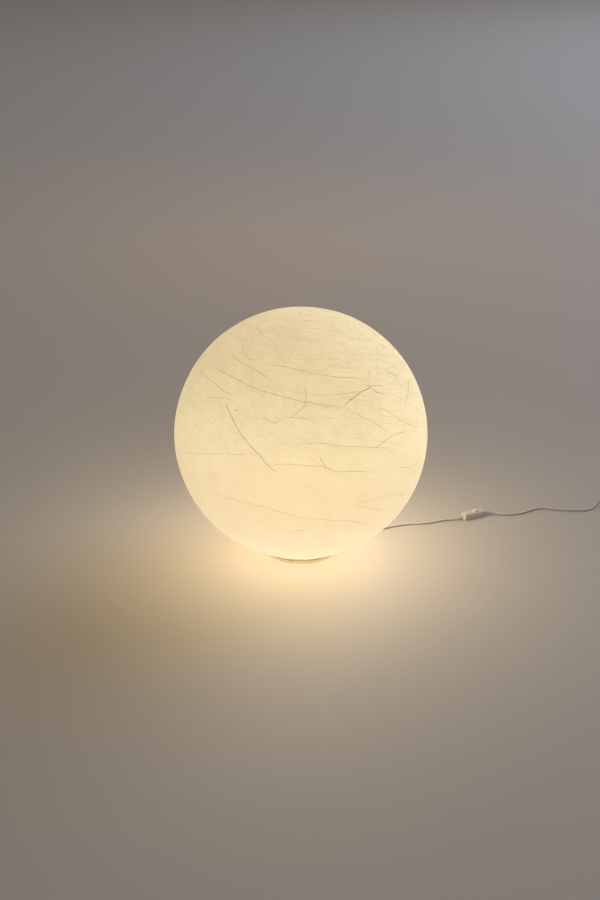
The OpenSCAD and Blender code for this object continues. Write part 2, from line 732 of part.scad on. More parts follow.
// Rings of points at heights h, whose radii are rows of r
function rings(h, r) = [
    for (i = [0:len(h) - 1], k = [0:len(r[i]) - 1])
        let (a = 360 * k / len(r[i]))
        [r[i][k] * cos(a), r[i][k] * sin(a), h[i]]
];

// Facets between n rings of m points, from the point with number `base` on
function skin(n, m, base) = [
    for (i = [0:n - 2], k = [0:m - 1])
        let (a = base + i * m + k, b = base + i * m + (k + 1) % m)
        each [[a, a + m, b + m], [a, b + m, b]]
];

// A wall round the axis between an outer and an inner field of radii, each with its own heights
module ring_wall(h, outer, h_in, inner) {
    m = len(outer[0]);
    base = len(h) * m;
    top = base - m;
    in_top = base + (len(h_in) - 1) * m;
    ends = [
        for (k = [0:m - 1])
            let (b = (k + 1) % m)
            each [[k, b, base + b], [k, base + b, base + k],
                  [top + k, in_top + b, top + b], [top + k, in_top + k, in_top + b]]
    ];
    inside = [for (f = skin(len(h_in), m, base)) [f[0], f[2], f[1]]];
    polyhedron(concat(rings(h, outer), rings(h_in, inner)), concat(skin(len(h), m, 0), inside, ends), convexity=10);
}

thread_sides = 24;
thread_rows = 5;                            // rows of facets in one pitch

// The lampholder's pressed screw shell. Its thread stays in step with the bulb's.
module screw_shell() {
    rows = ceil((sleeve_top - insert_top) / (thread_pitch / thread_rows));
    h = [for (i = [0:rows]) insert_top + (sleeve_top - insert_top) * i / rows];
    inner = [for (z = h) [for (k = [0:thread_sides - 1])
        sleeve_major_r - thread_depth * fade(z, insert_top, sleeve_top)
            * (1 - thread_wave(360 * k / thread_sides, z - tip_z))]];
    outer = [for (row = inner) [for (r = row) r + sheet_t]];
    color(brass_col) ring_wall(h, outer, h, inner);
}

module holder_shell() {
    color(white_col) difference() {
        translate([0, 0, holder_z]) rotate_extrude() polygon([
            [holder_cap_r + screw_gap, 19], [holder_r, 19], [holder_r, 33], [holder_r - 1.5, 35],
            [holder_r - 2, holder_h - 1], [holder_r - 3, holder_h], [sleeve_bore_r, holder_h],
            [sleeve_bore_r, 26.1], [holder_cap_r + screw_gap, 26.1]
        ]);
        for (a = [0:30:330]) rotate([0, 0, a]) translate([holder_r + 0.6, 0, holder_z + 18])
            cylinder(r=1.2, h=15.5);
    }
}

// ---------- bulb ----------

module on_tip() translate([0, 0, tip_z]) children();

module bulb_tip() {
    color(brass_col) on_tip() cylinder(r1=3.4, r2=4.8, h=1.4);
}

module bulb_insulator() {
    color(rubber_col) on_tip() translate([0, 0, 1.4]) cylinder(r1=5.2, r2=thread_minor_r - 0.8, h=cap_z - 1.5);
}

// The bulb's screw cap: a smooth skirt above a rounded thread
module bulb_cap() {
    rows = ceil((cap_top - cap_z) / (thread_pitch / thread_rows));
    h = [for (i = [0:rows]) cap_z + (cap_top - cap_z) * i / rows];
    outer = [for (z = h) [for (k = [0:thread_sides - 1])
        z > cap_skirt_z + 0.5 ? cap_skirt_r
        : thread_minor_r + thread_depth * fade(z, cap_z, cap_skirt_z) * thread_wave(360 * k / thread_sides, z)]];
    inner = [for (z = [0, 1]) [for (k = [0:thread_sides - 1]) thread_minor_r - 1.2]];
    color(zinc_col) on_tip() ring_wall(h, outer, [cap_z, cap_top], inner);
}

// Flared heat sink and driver housing between the cap and the opal bulb
module bulb_housing() {
    rim = housing_rim_r;
    neck = cap_skirt_r + 0.6;
    color(white_col) on_tip() rotate_extrude() polygon([
        [0, cap_top], [neck, cap_top], [neck, cap_top + 5], [20, 41.5], [28.5, 50], [rim, board_z],
        [rim, housing_top], [rim - housing_t, housing_top], [rim - housing_t, board_z], [rim - 3.4, board_z],
        [26.8, 51.8], [17.6, 42], [neck - 1.8, cap_top + 6], [neck - 1.8, cap_top + 2], [0, cap_top + 2]
    ]);
}

module led_board() {
    color(zinc_col) on_tip() translate([0, 0, board_z]) cylinder(r=housing_rim_r - housing_t - 0.2, h=board_t);
}

module led_chips() {
    chip = 3.4;
    color("#f2d24a") on_tip() for (ring = [[chip_count, 24], [chip_count / 2, 12]], i = [0:ring[0] - 1])
        rotate([0, 0, i * 360 / floor(ring[0])]) translate([ring[1] - chip / 2, -chip / 2, board_z + board_t])
            cube([chip, chip, 0.8]);
}

module bulb_globe() {
    color("#fbf6e6") on_tip() translate([0, 0, globe_centre]) difference() {
        sphere(r=bulb_r);
        sphere(r=bulb_r - bulb_t);
        translate([0, 0, housing_top - globe_centre - bulb_d]) cylinder(r=bulb_d, h=bulb_d);
    }
}

// ---------- lead ----------

// A route's centre line, from the gaps under the lead
function laid(route) = [for (p = route) p + [0, 0, lead_r]];

relief_mouth = [relief_end * cos(lead_angle), relief_end * sin(lead_angle), lead_z];
switch_dir = [cos(switch_turn), sin(switch_turn), 0];
switch_in = switch_at + [0, 0, part_z] - stub_x * switch_dir;
switch_out = switch_at + [0, 0, part_z] + stub_x * switch_dir;
switch_face_in = switch_at + [0, 0, part_z] - (switch_l / 2 + 3) * switch_dir;
switch_face_out = switch_at + [0, 0, part_z] + (switch_l / 2 + 3) * switch_dir;

module lead_to_switch() {
    color(lead_col) sweep(concat([relief_mouth], laid(route_to_switch), [switch_face_in, switch_in]),
        lead_r, 10, [0, 0, 1], first=[cos(lead_angle), sin(lead_angle), 0], last=switch_dir);
}

// The coil turns clockwise: a layer spirals in, climbs in half a turn, and spirals out on top.
// t counts turns from the coil's start.
function coil_radius(t) =
    t < layer_turns ? coil_r - layer_step * t :
    t < layer_turns + climb ? coil_in - coil_dip * sin(180 * (t - layer_turns) / climb) :
    coil_in + layer_step * (t - layer_turns - climb);
function coil_height(t) =
    coil_low + layer_step * (1 - cos(180 * max(0, min(1, (t - layer_turns) / climb)))) / 2;
function coil_point(t) =
    let (a = coil_start - 360 * t)
    [coil_at[0] + coil_radius(t) * cos(a), coil_at[1] + coil_radius(t) * sin(a), coil_height(t)];
function clockwise(t) = let (a = coil_start - 360 * t) [sin(a), -cos(a), 0];
coil_path = concat(
    [coil_point(0) - lead_d * clockwise(0)],
    [for (i = [0:coil_rings]) coil_point(coil_turns * i / coil_rings)],
    [coil_point(coil_turns) + lead_d * clockwise(coil_turns)]
);
echo(coil_least_gap=least_gap(coil_path, 8) - lead_d);

module lead_coil() {
    color(lead_col) sweep(coil_path, lead_r, 6, [0, 0, 1], first=clockwise(0), last=clockwise(coil_turns));
}

module lead_to_coil() {
    color(lead_col) sweep(concat([switch_out, switch_face_out], laid(route_to_coil), [coil_path[0]]),
        lead_r, 10, [0, 0, 1], first=switch_dir, last=clockwise(0));
}

plug_dir = [cos(plug_turn), sin(plug_turn), 0];
plug_rear = plug_at + [0, 0, plug_t / 2];

module lead_to_plug() {
    boot_end = plug_rear - boot_l * plug_dir;
    color(lead_col) sweep(concat([coil_path[len(coil_path) - 1]], laid(route_to_plug),
        [boot_end - 3 * plug_dir, boot_end, plug_rear]),
        lead_r, 10, [0, 0, 1], first=clockwise(coil_turns), last=plug_dir);
}

// Two straps round the coil's turns, which the coil also lies on
module coil_ties() {
    inner = sqrt(pow(coil_in - coil_dip - lead_r, 2) - pow(tie_w / 2, 2)) - 0.5;
    outer = coil_r + lead_r + 1;
    top = coil_low + layer_step + lead_r + 0.4;
    color(rubber_col) translate([coil_at[0], coil_at[1], 0]) for (a = [50, 230]) rotate([0, 0, a])
        difference() {
            translate([inner - tie_t, -tie_w / 2, 0]) cube([outer - inner + 2 * tie_t, tie_w, top + tie_t]);
            translate([inner, -tie_w, tie_t]) cube([outer - inner, 2 * tie_w, top - tie_t]);
        }
}

// ---------- switch ----------

module at_switch() translate(switch_at) rotate([0, 0, switch_turn]) children();

// A thin slice of the housing's outline at height z, drawn in all round
module switch_slice(z, inset) translate([0, 0, z])
    round_slab(switch_l - 2 * inset, switch_w - 2 * inset, e, switch_round - inset);

// Outer form of the housing: widest at the split, leaning in to the foot and to the top's edge
module switch_form() hull() {
    switch_slice(0, foot_inset);
    switch_slice(part_z, 0);
    switch_slice(switch_h - edge_h, side_inset);
    switch_slice(switch_h - e, side_inset + edge_inset);
}

module lead_notches() {
    for (x = [-1, 1]) translate([x * switch_l / 2, 0, part_z]) rotate([0, 90, 0])
        cylinder(r=lead_r + 0.1, h=18, center=true);
}

// Moulded ribs near the ends, which grip the lead
module grip_ribs(z, h) {
    for (x = [-1, 1]) translate([x * 27 - 1, -7, z]) cube([2, 14, h]);
}

module switch_base() {
    floor_z = switch_t;
    color(switch_col) at_switch() difference() {
        union() {
            difference() {
                intersection() {
                    switch_form();
                    translate([-switch_l, -switch_w, 0]) cube([2 * switch_l, 2 * switch_w, part_z]);
                }
                translate([0, 0, floor_z])
                    round_slab(switch_l - 2 * switch_t, switch_w - 2 * switch_t, switch_h, switch_round - switch_t);
            }
            grip_ribs(floor_z - e, part_z - floor_z);
            for (s = [-1, 1]) translate([s * boss_at[0], s * boss_at[1], 0]) cylinder(r=boss_r, h=part_z);
            translate([-9.5, -3, floor_z - e]) cube([3, 6, bar_z - floor_z - 9 * sin(bar_tilt) - 0.2]);
        }
        lead_notches();
        for (s = [-1, 1]) translate([s * boss_at[0], s * boss_at[1], -1]) {
            cylinder(r=screw_hole_r, h=switch_h);
            cylinder(r=small_screw_d + 0.1, h=4);
        }
    }
}

module switch_cover() {
    window_l = rocker_l + 3.2;
    color(switch_col) at_switch() difference() {
        union() {
            difference() {
                intersection() {
                    switch_form();
                    translate([-switch_l, -switch_w, part_z]) cube([2 * switch_l, 2 * switch_w, switch_h]);
                }
                translate([0, 0, part_z - 1]) round_slab(switch_l - 2 * switch_t, switch_w - 2 * switch_t,
                    switch_h - switch_t - part_z + 1, switch_round - switch_t);
            }
            grip_ribs(part_z, switch_h - switch_t - part_z + e);
            for (s = [-1, 1]) translate([s * boss_at[0], s * boss_at[1], part_z])
                cylinder(r=boss_r - 0.3, h=switch_h - switch_t - part_z + e);
            for (s = [-1, 1]) translate([-3.5, s * (rocker_w / 2 + 1.6) - 1.3, pivot_z - 2.8])
                cube([7, 2.6, switch_h - pivot_z + 1.4]);
        }
        lead_notches();
        for (s = [-1, 1]) translate([s * boss_at[0], s * boss_at[1], part_z - 1])
            cylinder(r=small_screw_d / 2 + 0.1, h=5);
        translate([-window_l / 2, -rocker_w / 2 - side_gap, part_z]) cube([window_l, rocker_w + 2 * side_gap, switch_h]);
        translate([0, 0, pivot_z]) rotate([90, 0, 0]) cylinder(r=trunnion_r + 0.1, h=rocker_w + 5.5, center=true);
    }
}

// Places children in the rocker's own frame, tilted as the lead shows it: far end up
module on_pivot(tilt) at_switch() translate([0, 0, pivot_z]) rotate([0, -tilt, 0]) children();

module switch_rocker() {
    half = rocker_l / 2;
    top = switch_h - pivot_z;
    color(switch_col) on_pivot(rocker_tilt) difference() {
        union() {
            translate([0, rocker_w / 2, 0]) rotate([90, 0, 0]) linear_extrude(rocker_w) polygon([
                [-half + 0.8, -2.6], [half - 0.8, -2.6], [half, -1.6], [half, top + 2.0], [half - 1, top + 2.3],
                [3, top + 0.7], [0, top + 0.45], [-3, top + 0.7], [-half + 1, top + 2.3], [-half, top + 2.0], [-half, -1.6]
            ]);
            rotate([90, 0, 0]) cylinder(r=trunnion_r, h=rocker_w + 5, center=true);
            translate([0, 0, 1.6 - reach]) cylinder(r=plunger_r + 1.1, h=reach - 2.6);
        }
        translate([0, 0, 0.6 - reach]) cylinder(r=plunger_r + screw_gap, h=reach - 0.2);
    }
}

// Sprung pin in the rocker's stem, which tips the contact bar
module contact_plunger() {
    color(zinc_col) on_pivot(rocker_tilt) translate([0, 0, -reach]) {
        cylinder(r1=plunger_r - 0.8, r2=plunger_r, h=1);
        translate([0, 0, 1]) cylinder(r=plunger_r, h=plunger_l - 1);
    }
}

module plunger_spring() {
    wire_r = 0.25;
    length = reach - plunger_l - 0.2;
    coils = floor(length / 0.85);
    per_coil = 8;
    r = plunger_r - wire_r - 0.2;
    start_z = plunger_l + 0.3 - reach;
    path = [for (i = [0:coils * per_coil])
        [r * cos(360 * i / per_coil), r * sin(360 * i / per_coil), start_z + length * i / (coils * per_coil)]];
    color(zinc_col) on_pivot(rocker_tilt) sweep(path, wire_r, 6, [0, 0, 1]);
}

// Contact bar, which rocks on a small round ridge
module contact_bar() {
    color(brass_col) at_switch() translate([0, 0, bar_z]) rotate([0, bar_tilt, 0]) translate([0, 2.5, 0])
        rotate([90, 0, 0]) {
            linear_extrude(5) polygon([
                [-9, 0.1], [-1, 0], [1, 0], [9, 0.1], [9, 0.9], [1, 0.7], [-1, 0.7], [-9, 0.9]
            ]);
            cylinder(r=ridge_r, h=5);
        }
}

// The bar's rest and the live contact, each with its own cage for a core
module fixed_contacts() {
    floor_z = switch_t;
    cage_z = floor_z + strip_t;
    color(brass_col) at_switch() {
        difference() {
            union() {
                translate([-terminal_x - 2.5, -5.5, floor_z]) cube([5, 7, 6]);
                translate([-terminal_x, -5.5, floor_z]) cube([terminal_x + 2, 2, strip_t]);
                translate([-0.8, -5.5, floor_z]) cube([1.6, 8, rest_top - floor_z]);
            }
            cage_bores(-terminal_x, cage_z);
        }
        difference() {
            union() {
                translate([terminal_x - 2.5, -5.5, floor_z]) cube([5, 7, 6]);
                translate([6.5, -2.5, floor_z]) cube([terminal_x - 6.5, 4, strip_t]);
                translate([6.5, -2.5, floor_z]) cube([2.5, 4.5, bar_z - floor_z - 9 * sin(bar_tilt) - 0.25]);
            }
            cage_bores(terminal_x, cage_z);
        }
    }
}

// A hole for the core and one for its screw
module cage_bores(x, z) {
    translate([x, -2, z + 2.4]) rotate([0, 90, 0]) cylinder(r=core_r + 0.15, h=8, center=true);
    translate([x, -2, z + 2.4]) cylinder(r=1.35, h=8);
}

module switch_terminal_screws() {
    color(zinc_col) at_switch() for (x = [-1, 1]) translate([x * terminal_x, -2, switch_t + strip_t + 2.4 + core_r + 0.1])
        difference() {
            cylinder(r=1.3, h=3.4);
            translate([-2, -0.2, 2.8]) cube([4, 0.4, 1]);
        }
}

// The live core is cut at the two cages; the neutral core runs past them
module switch_cores() {
    z = switch_t + strip_t + 2.4;
    live = [[-stub_x, -1.2, part_z], [-stub_x + 1.2, -1.3, part_z - 0.3], [-stub_x + 2.6, -1.8, z + 0.4], [-terminal_x - 2, -2, z], [-terminal_x + 1, -2, z]];
    neutral = [
        [-stub_x, 1.2, part_z], [-stub_x + 1.5, 1.8, part_z - 0.4], [-stub_x + 4, core_y * 0.48, part_z - 1.6],
        [-stub_x + 8, core_y * 0.83, part_z - 2.6], [-stub_x + 14, core_y - 0.2, part_z - 2.8],
        [0, core_y, part_z - 2.8]
    ];
    back = [for (i = [len(neutral) - 2:-1:0]) [-neutral[i][0], neutral[i][1], neutral[i][2]]];
    across = [0, 1, 0];
    color(live_col) at_switch() {
        sweep(live, core_r, 8, across, first=[1, 0, 0], last=[1, 0, 0]);
        mirror([1, 0, 0]) sweep(live, core_r, 8, across, first=[1, 0, 0], last=[1, 0, 0]);
        sweep(concat(neutral, back), core_r, 8, [0, 0, 1], first=[1, 0, 0], last=[1, 0, 0]);
    }
}

module switch_screws() {
    color(zinc_col) at_switch() for (s = [-1, 1]) translate([s * boss_at[0], s * boss_at[1], 3]) mirror([0, 0, 1])
        pan_screw(small_screw_d / 2, part_z);
}

// ---------- plug ----------

module at_plug() translate(plug_at) rotate([0, 0, plug_turn]) translate([0, 0, plug_t / 2]) children();

// Flat two-pin plug with blank faces
module plug_body() {
    front_l = 15;
    edge = 3;
    color(switch_col) at_plug() difference() {
        hull() {
            for (y = [-1, 1], z = [-1, 1])
                translate([plug_l - front_l, y * (plug_w / 2 - edge), z * (plug_t / 2 - edge)])
                    rotate([0, 90, 0]) cylinder(r=edge, h=front_l, $fn=32);
            rotate([0, 90, 0]) cylinder(r=5.6, h=2, $fn=32);
        }
        for (y = [-1, 1]) translate([0, y * pin_pitch / 2, 0]) rotate([0, 90, 0]) {
            translate([0, 0, plug_l - 2]) cylinder(r=pin_sleeve_r + bore_gap, h=3);
            translate([0, 0, plug_l - 9]) cylinder(r=pin_core_r + bore_gap, h=10);
        }
    }
}

module plug_boot() {
    ribs = 5;
    rib_step = (boot_l - 7) / ribs;
    function taper(s) = 3.7 + 1.5 * s / boot_l;
    color(lead_col) at_plug() translate([-boot_l, 0, 0]) rotate([0, 90, 0]) difference() {
        cylinder(r1=taper(0), r2=taper(boot_l), h=boot_l);
        translate([0, 0, -1]) cylinder(r=relief_bore_r, h=boot_l + 2);
        for (i = [0:ribs - 1]) translate([0, 0, 2 + i * rib_step]) difference() {
            cylinder(r=7, h=1.4);
            translate([0, 0, -1]) cylinder(r=taper(2 + i * rib_step) - 0.6, h=4);
        }
    }
}

module pin_sleeves() {
    color(rubber_col) at_plug() for (y = [-1, 1]) translate([plug_l - 2, y * pin_pitch / 2, 0]) rotate([0, 90, 0])
        tube(pin_sleeve_r, pin_core_r + bore_gap, pin_sleeve_l + 2);
}

module plug_pins() {
    color(zinc_col) at_plug() for (y = [-1, 1]) translate([plug_l, y * pin_pitch / 2, 0]) rotate([0, 90, 0]) {
        translate([0, 0, -8.5]) cylinder(r=pin_core_r, h=pin_sleeve_l + 8.5 + e);
        translate([0, 0, pin_sleeve_l]) cylinder(d=pin_d, h=8);
        translate([0, 0, pin_sleeve_l + 8]) cylinder(r1=pin_d / 2, r2=pin_d / 2 - 0.9, h=1);
    }
}

// ---------- nodes ----------

globe_upper();
globe_lower();
collar_ring();
spring_clips();
clip_rivets();
base_pan();
bottom_cover();
cover_screws();
foot_pads();
ballast_ring();
ballast_screws();
support_pillars();
pillar_screws();
strain_relief();
lead_tail();
clamp_block();
clamp_bar();
fixing_screws();
terminal_block();
terminal_barrels();
terminal_screws();
live_wires();
neutral_wires();
threaded_rod();
rod_nut();
rod_washer();
stem_tube();
holder_cap();
holder_insert();
holder_terminal_screws();
centre_contact();
screw_shell();
holder_shell();
bulb_tip();
bulb_insulator();
bulb_cap();
bulb_housing();
led_board();
led_chips();
bulb_globe();
lead_to_switch();
lead_to_coil();
lead_coil();
lead_to_plug();
coil_ties();
switch_base();
switch_cover();
switch_rocker();
contact_plunger();
plunger_spring();
contact_bar();
fixed_contacts();
switch_terminal_screws();
switch_cores();
switch_screws();
plug_body();
plug_boot();
pin_sleeves();
plug_pins();
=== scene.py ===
# %% [markdown]
# # A paper globe lamp
# The lamp is a closed ball of handmade paper, 60 cm across, that stands on a small weighted
# base. A bulb inside lights the whole ball. A thin grey lead leaves behind it, passes an
# in-line rocker switch and ends in a flat plug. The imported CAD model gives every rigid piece.
# This script dresses it: it makes the paper, its fibres and the lead, and gives each piece
# its finish.

import json
import math

import bpy
import numpy as np
from mathutils import Matrix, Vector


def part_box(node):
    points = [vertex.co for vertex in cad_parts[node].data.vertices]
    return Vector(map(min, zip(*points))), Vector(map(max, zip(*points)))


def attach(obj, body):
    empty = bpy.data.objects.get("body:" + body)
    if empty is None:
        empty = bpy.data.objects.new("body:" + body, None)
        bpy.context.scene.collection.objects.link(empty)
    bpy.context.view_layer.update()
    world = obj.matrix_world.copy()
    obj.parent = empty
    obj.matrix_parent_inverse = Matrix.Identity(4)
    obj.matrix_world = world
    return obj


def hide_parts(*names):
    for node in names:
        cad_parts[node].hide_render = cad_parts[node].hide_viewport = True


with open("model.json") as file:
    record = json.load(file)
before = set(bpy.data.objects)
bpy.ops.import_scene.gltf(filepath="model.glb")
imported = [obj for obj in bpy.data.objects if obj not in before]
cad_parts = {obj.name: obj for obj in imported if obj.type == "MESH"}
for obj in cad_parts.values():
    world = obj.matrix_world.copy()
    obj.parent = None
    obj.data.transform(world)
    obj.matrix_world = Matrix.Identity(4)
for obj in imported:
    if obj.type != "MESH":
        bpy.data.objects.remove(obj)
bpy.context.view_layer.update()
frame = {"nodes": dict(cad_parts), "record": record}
nodes = frame["nodes"]

# %% [markdown]
# ## The camera
# The photograph was taken from standing height, looking down on the lamp. The ball's outline,
# the switch and the light on the floor agree on a 56 mm lens, 3.08 m in front of the lamp and
# 1.57 m above the floor, tipped 23 degrees down. The picture is 600 by 900 pixels, so one
# millimetre on the sensor is 25 pixels.

# %% Camera
CAMERA_AT = np.array([-0.0024, -3.0814, 1.5683])
CAMERA_TILT = math.radians(67)
LENS = 56
SENSOR = 36
PICTURE_W, PICTURE_H = 600, 900
FOCAL_PX = LENS / SENSOR * PICTURE_H

camera_data = bpy.data.cameras.new("photo_camera")
camera_data.lens = LENS
camera_data.sensor_width = SENSOR
camera_data.clip_end = 200
camera = bpy.data.objects.new("photo_camera", camera_data)
camera.location = CAMERA_AT.tolist()
camera.rotation_euler = (CAMERA_TILT, 0, 0)
bpy.context.scene.collection.objects.link(camera)
bpy.context.scene.camera = camera
bpy.context.scene.view_settings.view_transform = "Standard"
print("camera looks down by", 90 - math.degrees(CAMERA_TILT), "degrees; focal length in pixels:", FOCAL_PX)

# %% [markdown]
# ## The ball's place
# Everything on the paper is placed from the ball's centre and radius, which are read from the
# CAD model. The bulb's centre matters too, because the paper is brightest where it is near.

# %% Ball and bulb
PAPER_NODES = sorted(name for name in nodes if name.startswith("globe_"))
low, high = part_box(PAPER_NODES[-1])
GLOBE_R = (high.x - low.x) / 2
GLOBE_C = np.array([0.0, 0.0, high.z - GLOBE_R])
low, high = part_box("bulb_globe")
BULB_C = np.array([0.0, 0.0, high.z - (high.x - low.x) / 2])
PAPER_T = 0.002
print("ball radius", round(GLOBE_R, 4), "centre", GLOBE_C, "bulb centre", BULB_C)

# %% [markdown]
# ## Colours and nodes
# Colours are written as sRGB hex, as a paint shop would name them, and Blender wants linear
# light, so one function turns them. A second one adds a shader node with its settings, its
# values and its links in a single call. A Map Range node turns its first range into its second,
# and its four ends are written in the order of MAP.

# %% Colour and node helpers
MAP = ("From Min", "From Max", "To Min", "To Max")


def linear(hex_colour):
    """sRGB hex to linear RGBA: c / 12.92 up to 0.04045, and ((c + 0.055) / 1.055) ^ 2.4 above."""
    c = np.array([int(hex_colour[i : i + 2], 16) for i in (1, 3, 5)]) / 255
    c = np.where(c <= 0.04045, c / 12.92, ((c + 0.055) / 1.055) ** 2.4)
    return (*c.tolist(), 1.0)


def add_node(tree, kind, settings=None, values=None, links=None):
    """Adds a node of that kind. settings are its properties, values its inputs' constants, and
    links maps an input to the socket that feeds it. An input is named or numbered."""
    node = tree.nodes.new("ShaderNode" + kind)
    for key, value in (settings or {}).items():
        setattr(node, key, value)
    for key, value in (values or {}).items():
        node.inputs[key].default_value = value
    for key, socket in (links or {}).items():
        tree.links.new(socket, node.inputs[key])
    return node


def shines(tree, shader, tint, strength):
    """The shader's own light: a tint times a strength that may both vary from place to place."""
    glow = add_node(tree, "VectorMath", {"operation": "SCALE"}, {}, {0: tint, "Scale": strength})
    tree.links.new(glow.outputs[0], shader.inputs["Emission Color"])
    shader.inputs["Emission Strength"].default_value = 1.0


def new_material(name, **shader_values):
    """A material with one Principled shader. Returns the material, its node tree, the shader
    and the Object coordinates, which every pattern reads."""
    material = bpy.data.materials.new(name)
    material.use_nodes = True
    tree = material.node_tree
    shader = tree.nodes["Principled BSDF"]
    for key, value in shader_values.items():
        shader.inputs[key.replace("_", " ")].default_value = value
    place = add_node(tree, "TexCoord").outputs["Object"]
    return material, tree, shader, place


print("warm white", [round(c, 3) for c in linear("#ece8de")])

# %% [markdown]
# ## Surfaces from numpy
# A new piece is a grid of points: rows run along it and columns round it. One function turns
# the grid into a mesh, joins the last column to the first, and closes a row that has shrunk
# to a point. Another carries a cross-section along a line, which makes straps and fibres.

# %% Mesh helpers
def put_mesh(name, points, faces, smooth=True):
    """An object at the origin from points (n, 3) and a list of faces."""
    mesh = bpy.data.meshes.new(name)
    mesh.from_pydata(points.tolist(), [], faces)
    mesh.validate()
    mesh.polygons.foreach_set("use_smooth", np.full(len(mesh.polygons), smooth))
    mesh.update()
    piece = bpy.data.objects.new(name, mesh)
    bpy.context.scene.collection.objects.link(piece)
    return piece


def grid_faces(rows, columns, wrap_rows=False):
    """Quads between neighbouring rows and columns of a grid whose columns close on themselves."""
    row = np.arange(rows if wrap_rows else rows - 1)[:, None] * columns
    column = np.arange(columns)[None, :]
    next_row = (row + columns) % (rows * columns)
    next_column = (column + 1) % columns
    quads = np.stack([row + column, row + next_column, next_row + next_column, next_row + column], -1)
    return quads.reshape(-1, 4)


def evenly(line, count, closed=False):
    """count points at even distances along a line."""
    run = np.concatenate([[0], np.cumsum(np.linalg.norm(np.diff(line, axis=0), axis=1))])
    even = np.linspace(0, run[-1], count, endpoint=not closed)
    return np.stack([np.interp(even, run, line[:, i]) for i in range(line.shape[1])], -1)


def line_length(line):
    return float(np.linalg.norm(np.diff(line, axis=0), axis=1).sum())


def spline(points, step):
    """A smooth line through the points, sampled every step. Each stretch is a Catmull-Rom cubic:
    it leaves and meets its points along the line between their neighbours."""
    p = np.asarray(points, float)
    p = np.concatenate([[2 * p[0] - p[1]], p, [2 * p[-1] - p[-2]]])
    t = np.linspace(0, 1, 12, endpoint=False)[:, None, None]
    a, b, c, d = p[:-3], p[1:-2], p[2:-1], p[3:]
    line = 0.5 * (2 * b + (c - a) * t + (2 * a - 5 * b + 4 * c - d) * t**2 + (3 * b - a - 3 * c + d) * t**3)
    line = np.concatenate([line.transpose(1, 0, 2).reshape(-1, p.shape[1]), p[-2:-1]])
    return evenly(line, max(4, round(line_length(line) / step) + 1))


print("a line through three points:", spline([[0, 0, 0], [1, 1, 0], [2, 0, 0]], 0.5).shape)

# %% [markdown]
# ## The lead
# The lead is 1.8 m of round PVC flex, 5.2 mm thick, which is what such a lamp comes with. The
# photograph shows it as far as the right edge. The rest is wound into a small coil just beyond
# the picture, with the plug beside it. Its route repeats the CAD model's points, in
# millimetres: the first stretch runs from the strain relief into the switch. Directions are
# in degrees from +X.

# %% Route to the switch
MM = 0.001
LEAD_R = 2.6
RELIEF_TURN, RELIEF_OUT, RELIEF_UP = 26, 116.1, 10.1
SWITCH_TURN = 24
SWITCH_C = np.array([442.5, 171.5, 7.5])
SWITCH_END, SWITCH_INSIDE = 34, 23


def heading(degrees):
    """A level unit vector in that direction."""
    angle = math.radians(degrees)
    return np.array([math.cos(angle), math.sin(angle), 0])


def laid(route):
    """The third number of a route's point is the gap under the lead."""
    return np.array(route, float) + [0, 0, LEAD_R]


to_switch = laid([
    (126, 61, 6.3), (136, 66, 4.5), (147, 72, 2.4), (159, 78, 0.8), (172, 84, 0.1),
    (190, 92, 0), (211, 102, 0), (226, 110, 0), (239, 115, 0), (252, 120, 0),
    (265, 124, 0), (278, 127, 0), (291, 128, 0), (303, 129, 0), (316, 131, 0),
    (329, 134, 0), (343, 139, 0), (356, 145, 0), (366, 149, 0.1), (376, 151.5, 0.3),
    (386, 152.3, 0.9), (395, 152.5, 1.9), (403.5, 154.3, 3.4),
])  # fmt: skip
relief_mouth = RELIEF_OUT * heading(RELIEF_TURN) + [0, 0, RELIEF_UP]
along_switch = heading(SWITCH_TURN)
into_switch = [SWITCH_C - SWITCH_END * along_switch, SWITCH_C - SWITCH_INSIDE * along_switch]
first_run = np.concatenate([[relief_mouth], to_switch, into_switch])
print("first stretch:", len(first_run), "points")

# %% [markdown]
# The second stretch leaves the switch, runs out of the picture with the kink that the
# photograph shows, and winds into the coil. The coil spirals in, climbs to a second layer in
# half a turn, and spirals out again, so that both ends are on the outside.

# %% The coil
STRAP_W, STRAP_T, STRAP_GAP = 9.0, 0.8, 0.2
COIL_C = np.array([846, 262])
COIL_R, STEP, WHOLE, START, CLIMB, DIP = 36, 5.9, 5, 100, 0.5, 1.3
turns = WHOLE + START / 360
layer = (turns - CLIMB) / 2
coil_in = COIL_R - STEP * layer


def coil_point(t):
    """Point of the coil after t turns: the radius shrinks by STEP a turn, then dips a little
    while the height rises by STEP, then grows again. The angle runs clockwise from START."""
    climb = np.clip((t - layer) / CLIMB, 0, 1)
    going_in = COIL_R - STEP * t
    climbing = coil_in - DIP * np.sin(np.pi * climb)
    going_out = coil_in + STEP * (t - layer - CLIMB)
    radius = np.where(t < layer, going_in, np.where(t < layer + CLIMB, climbing, going_out))
    angle = np.radians(START) - 2 * np.pi * t
    height = STRAP_T + STRAP_GAP + LEAD_R + STEP * (1 - np.cos(np.pi * climb)) / 2
    return np.stack([COIL_C[0] + radius * np.cos(angle), COIL_C[1] + radius * np.sin(angle), height], -1)


def clockwise(t):
    """The direction in which the coil runs after t turns."""
    return heading(START - 90 - 360 * t)


print("coil of", round(turns, 2), "turns, two layers, innermost radius", round(coil_in, 2), "mm")

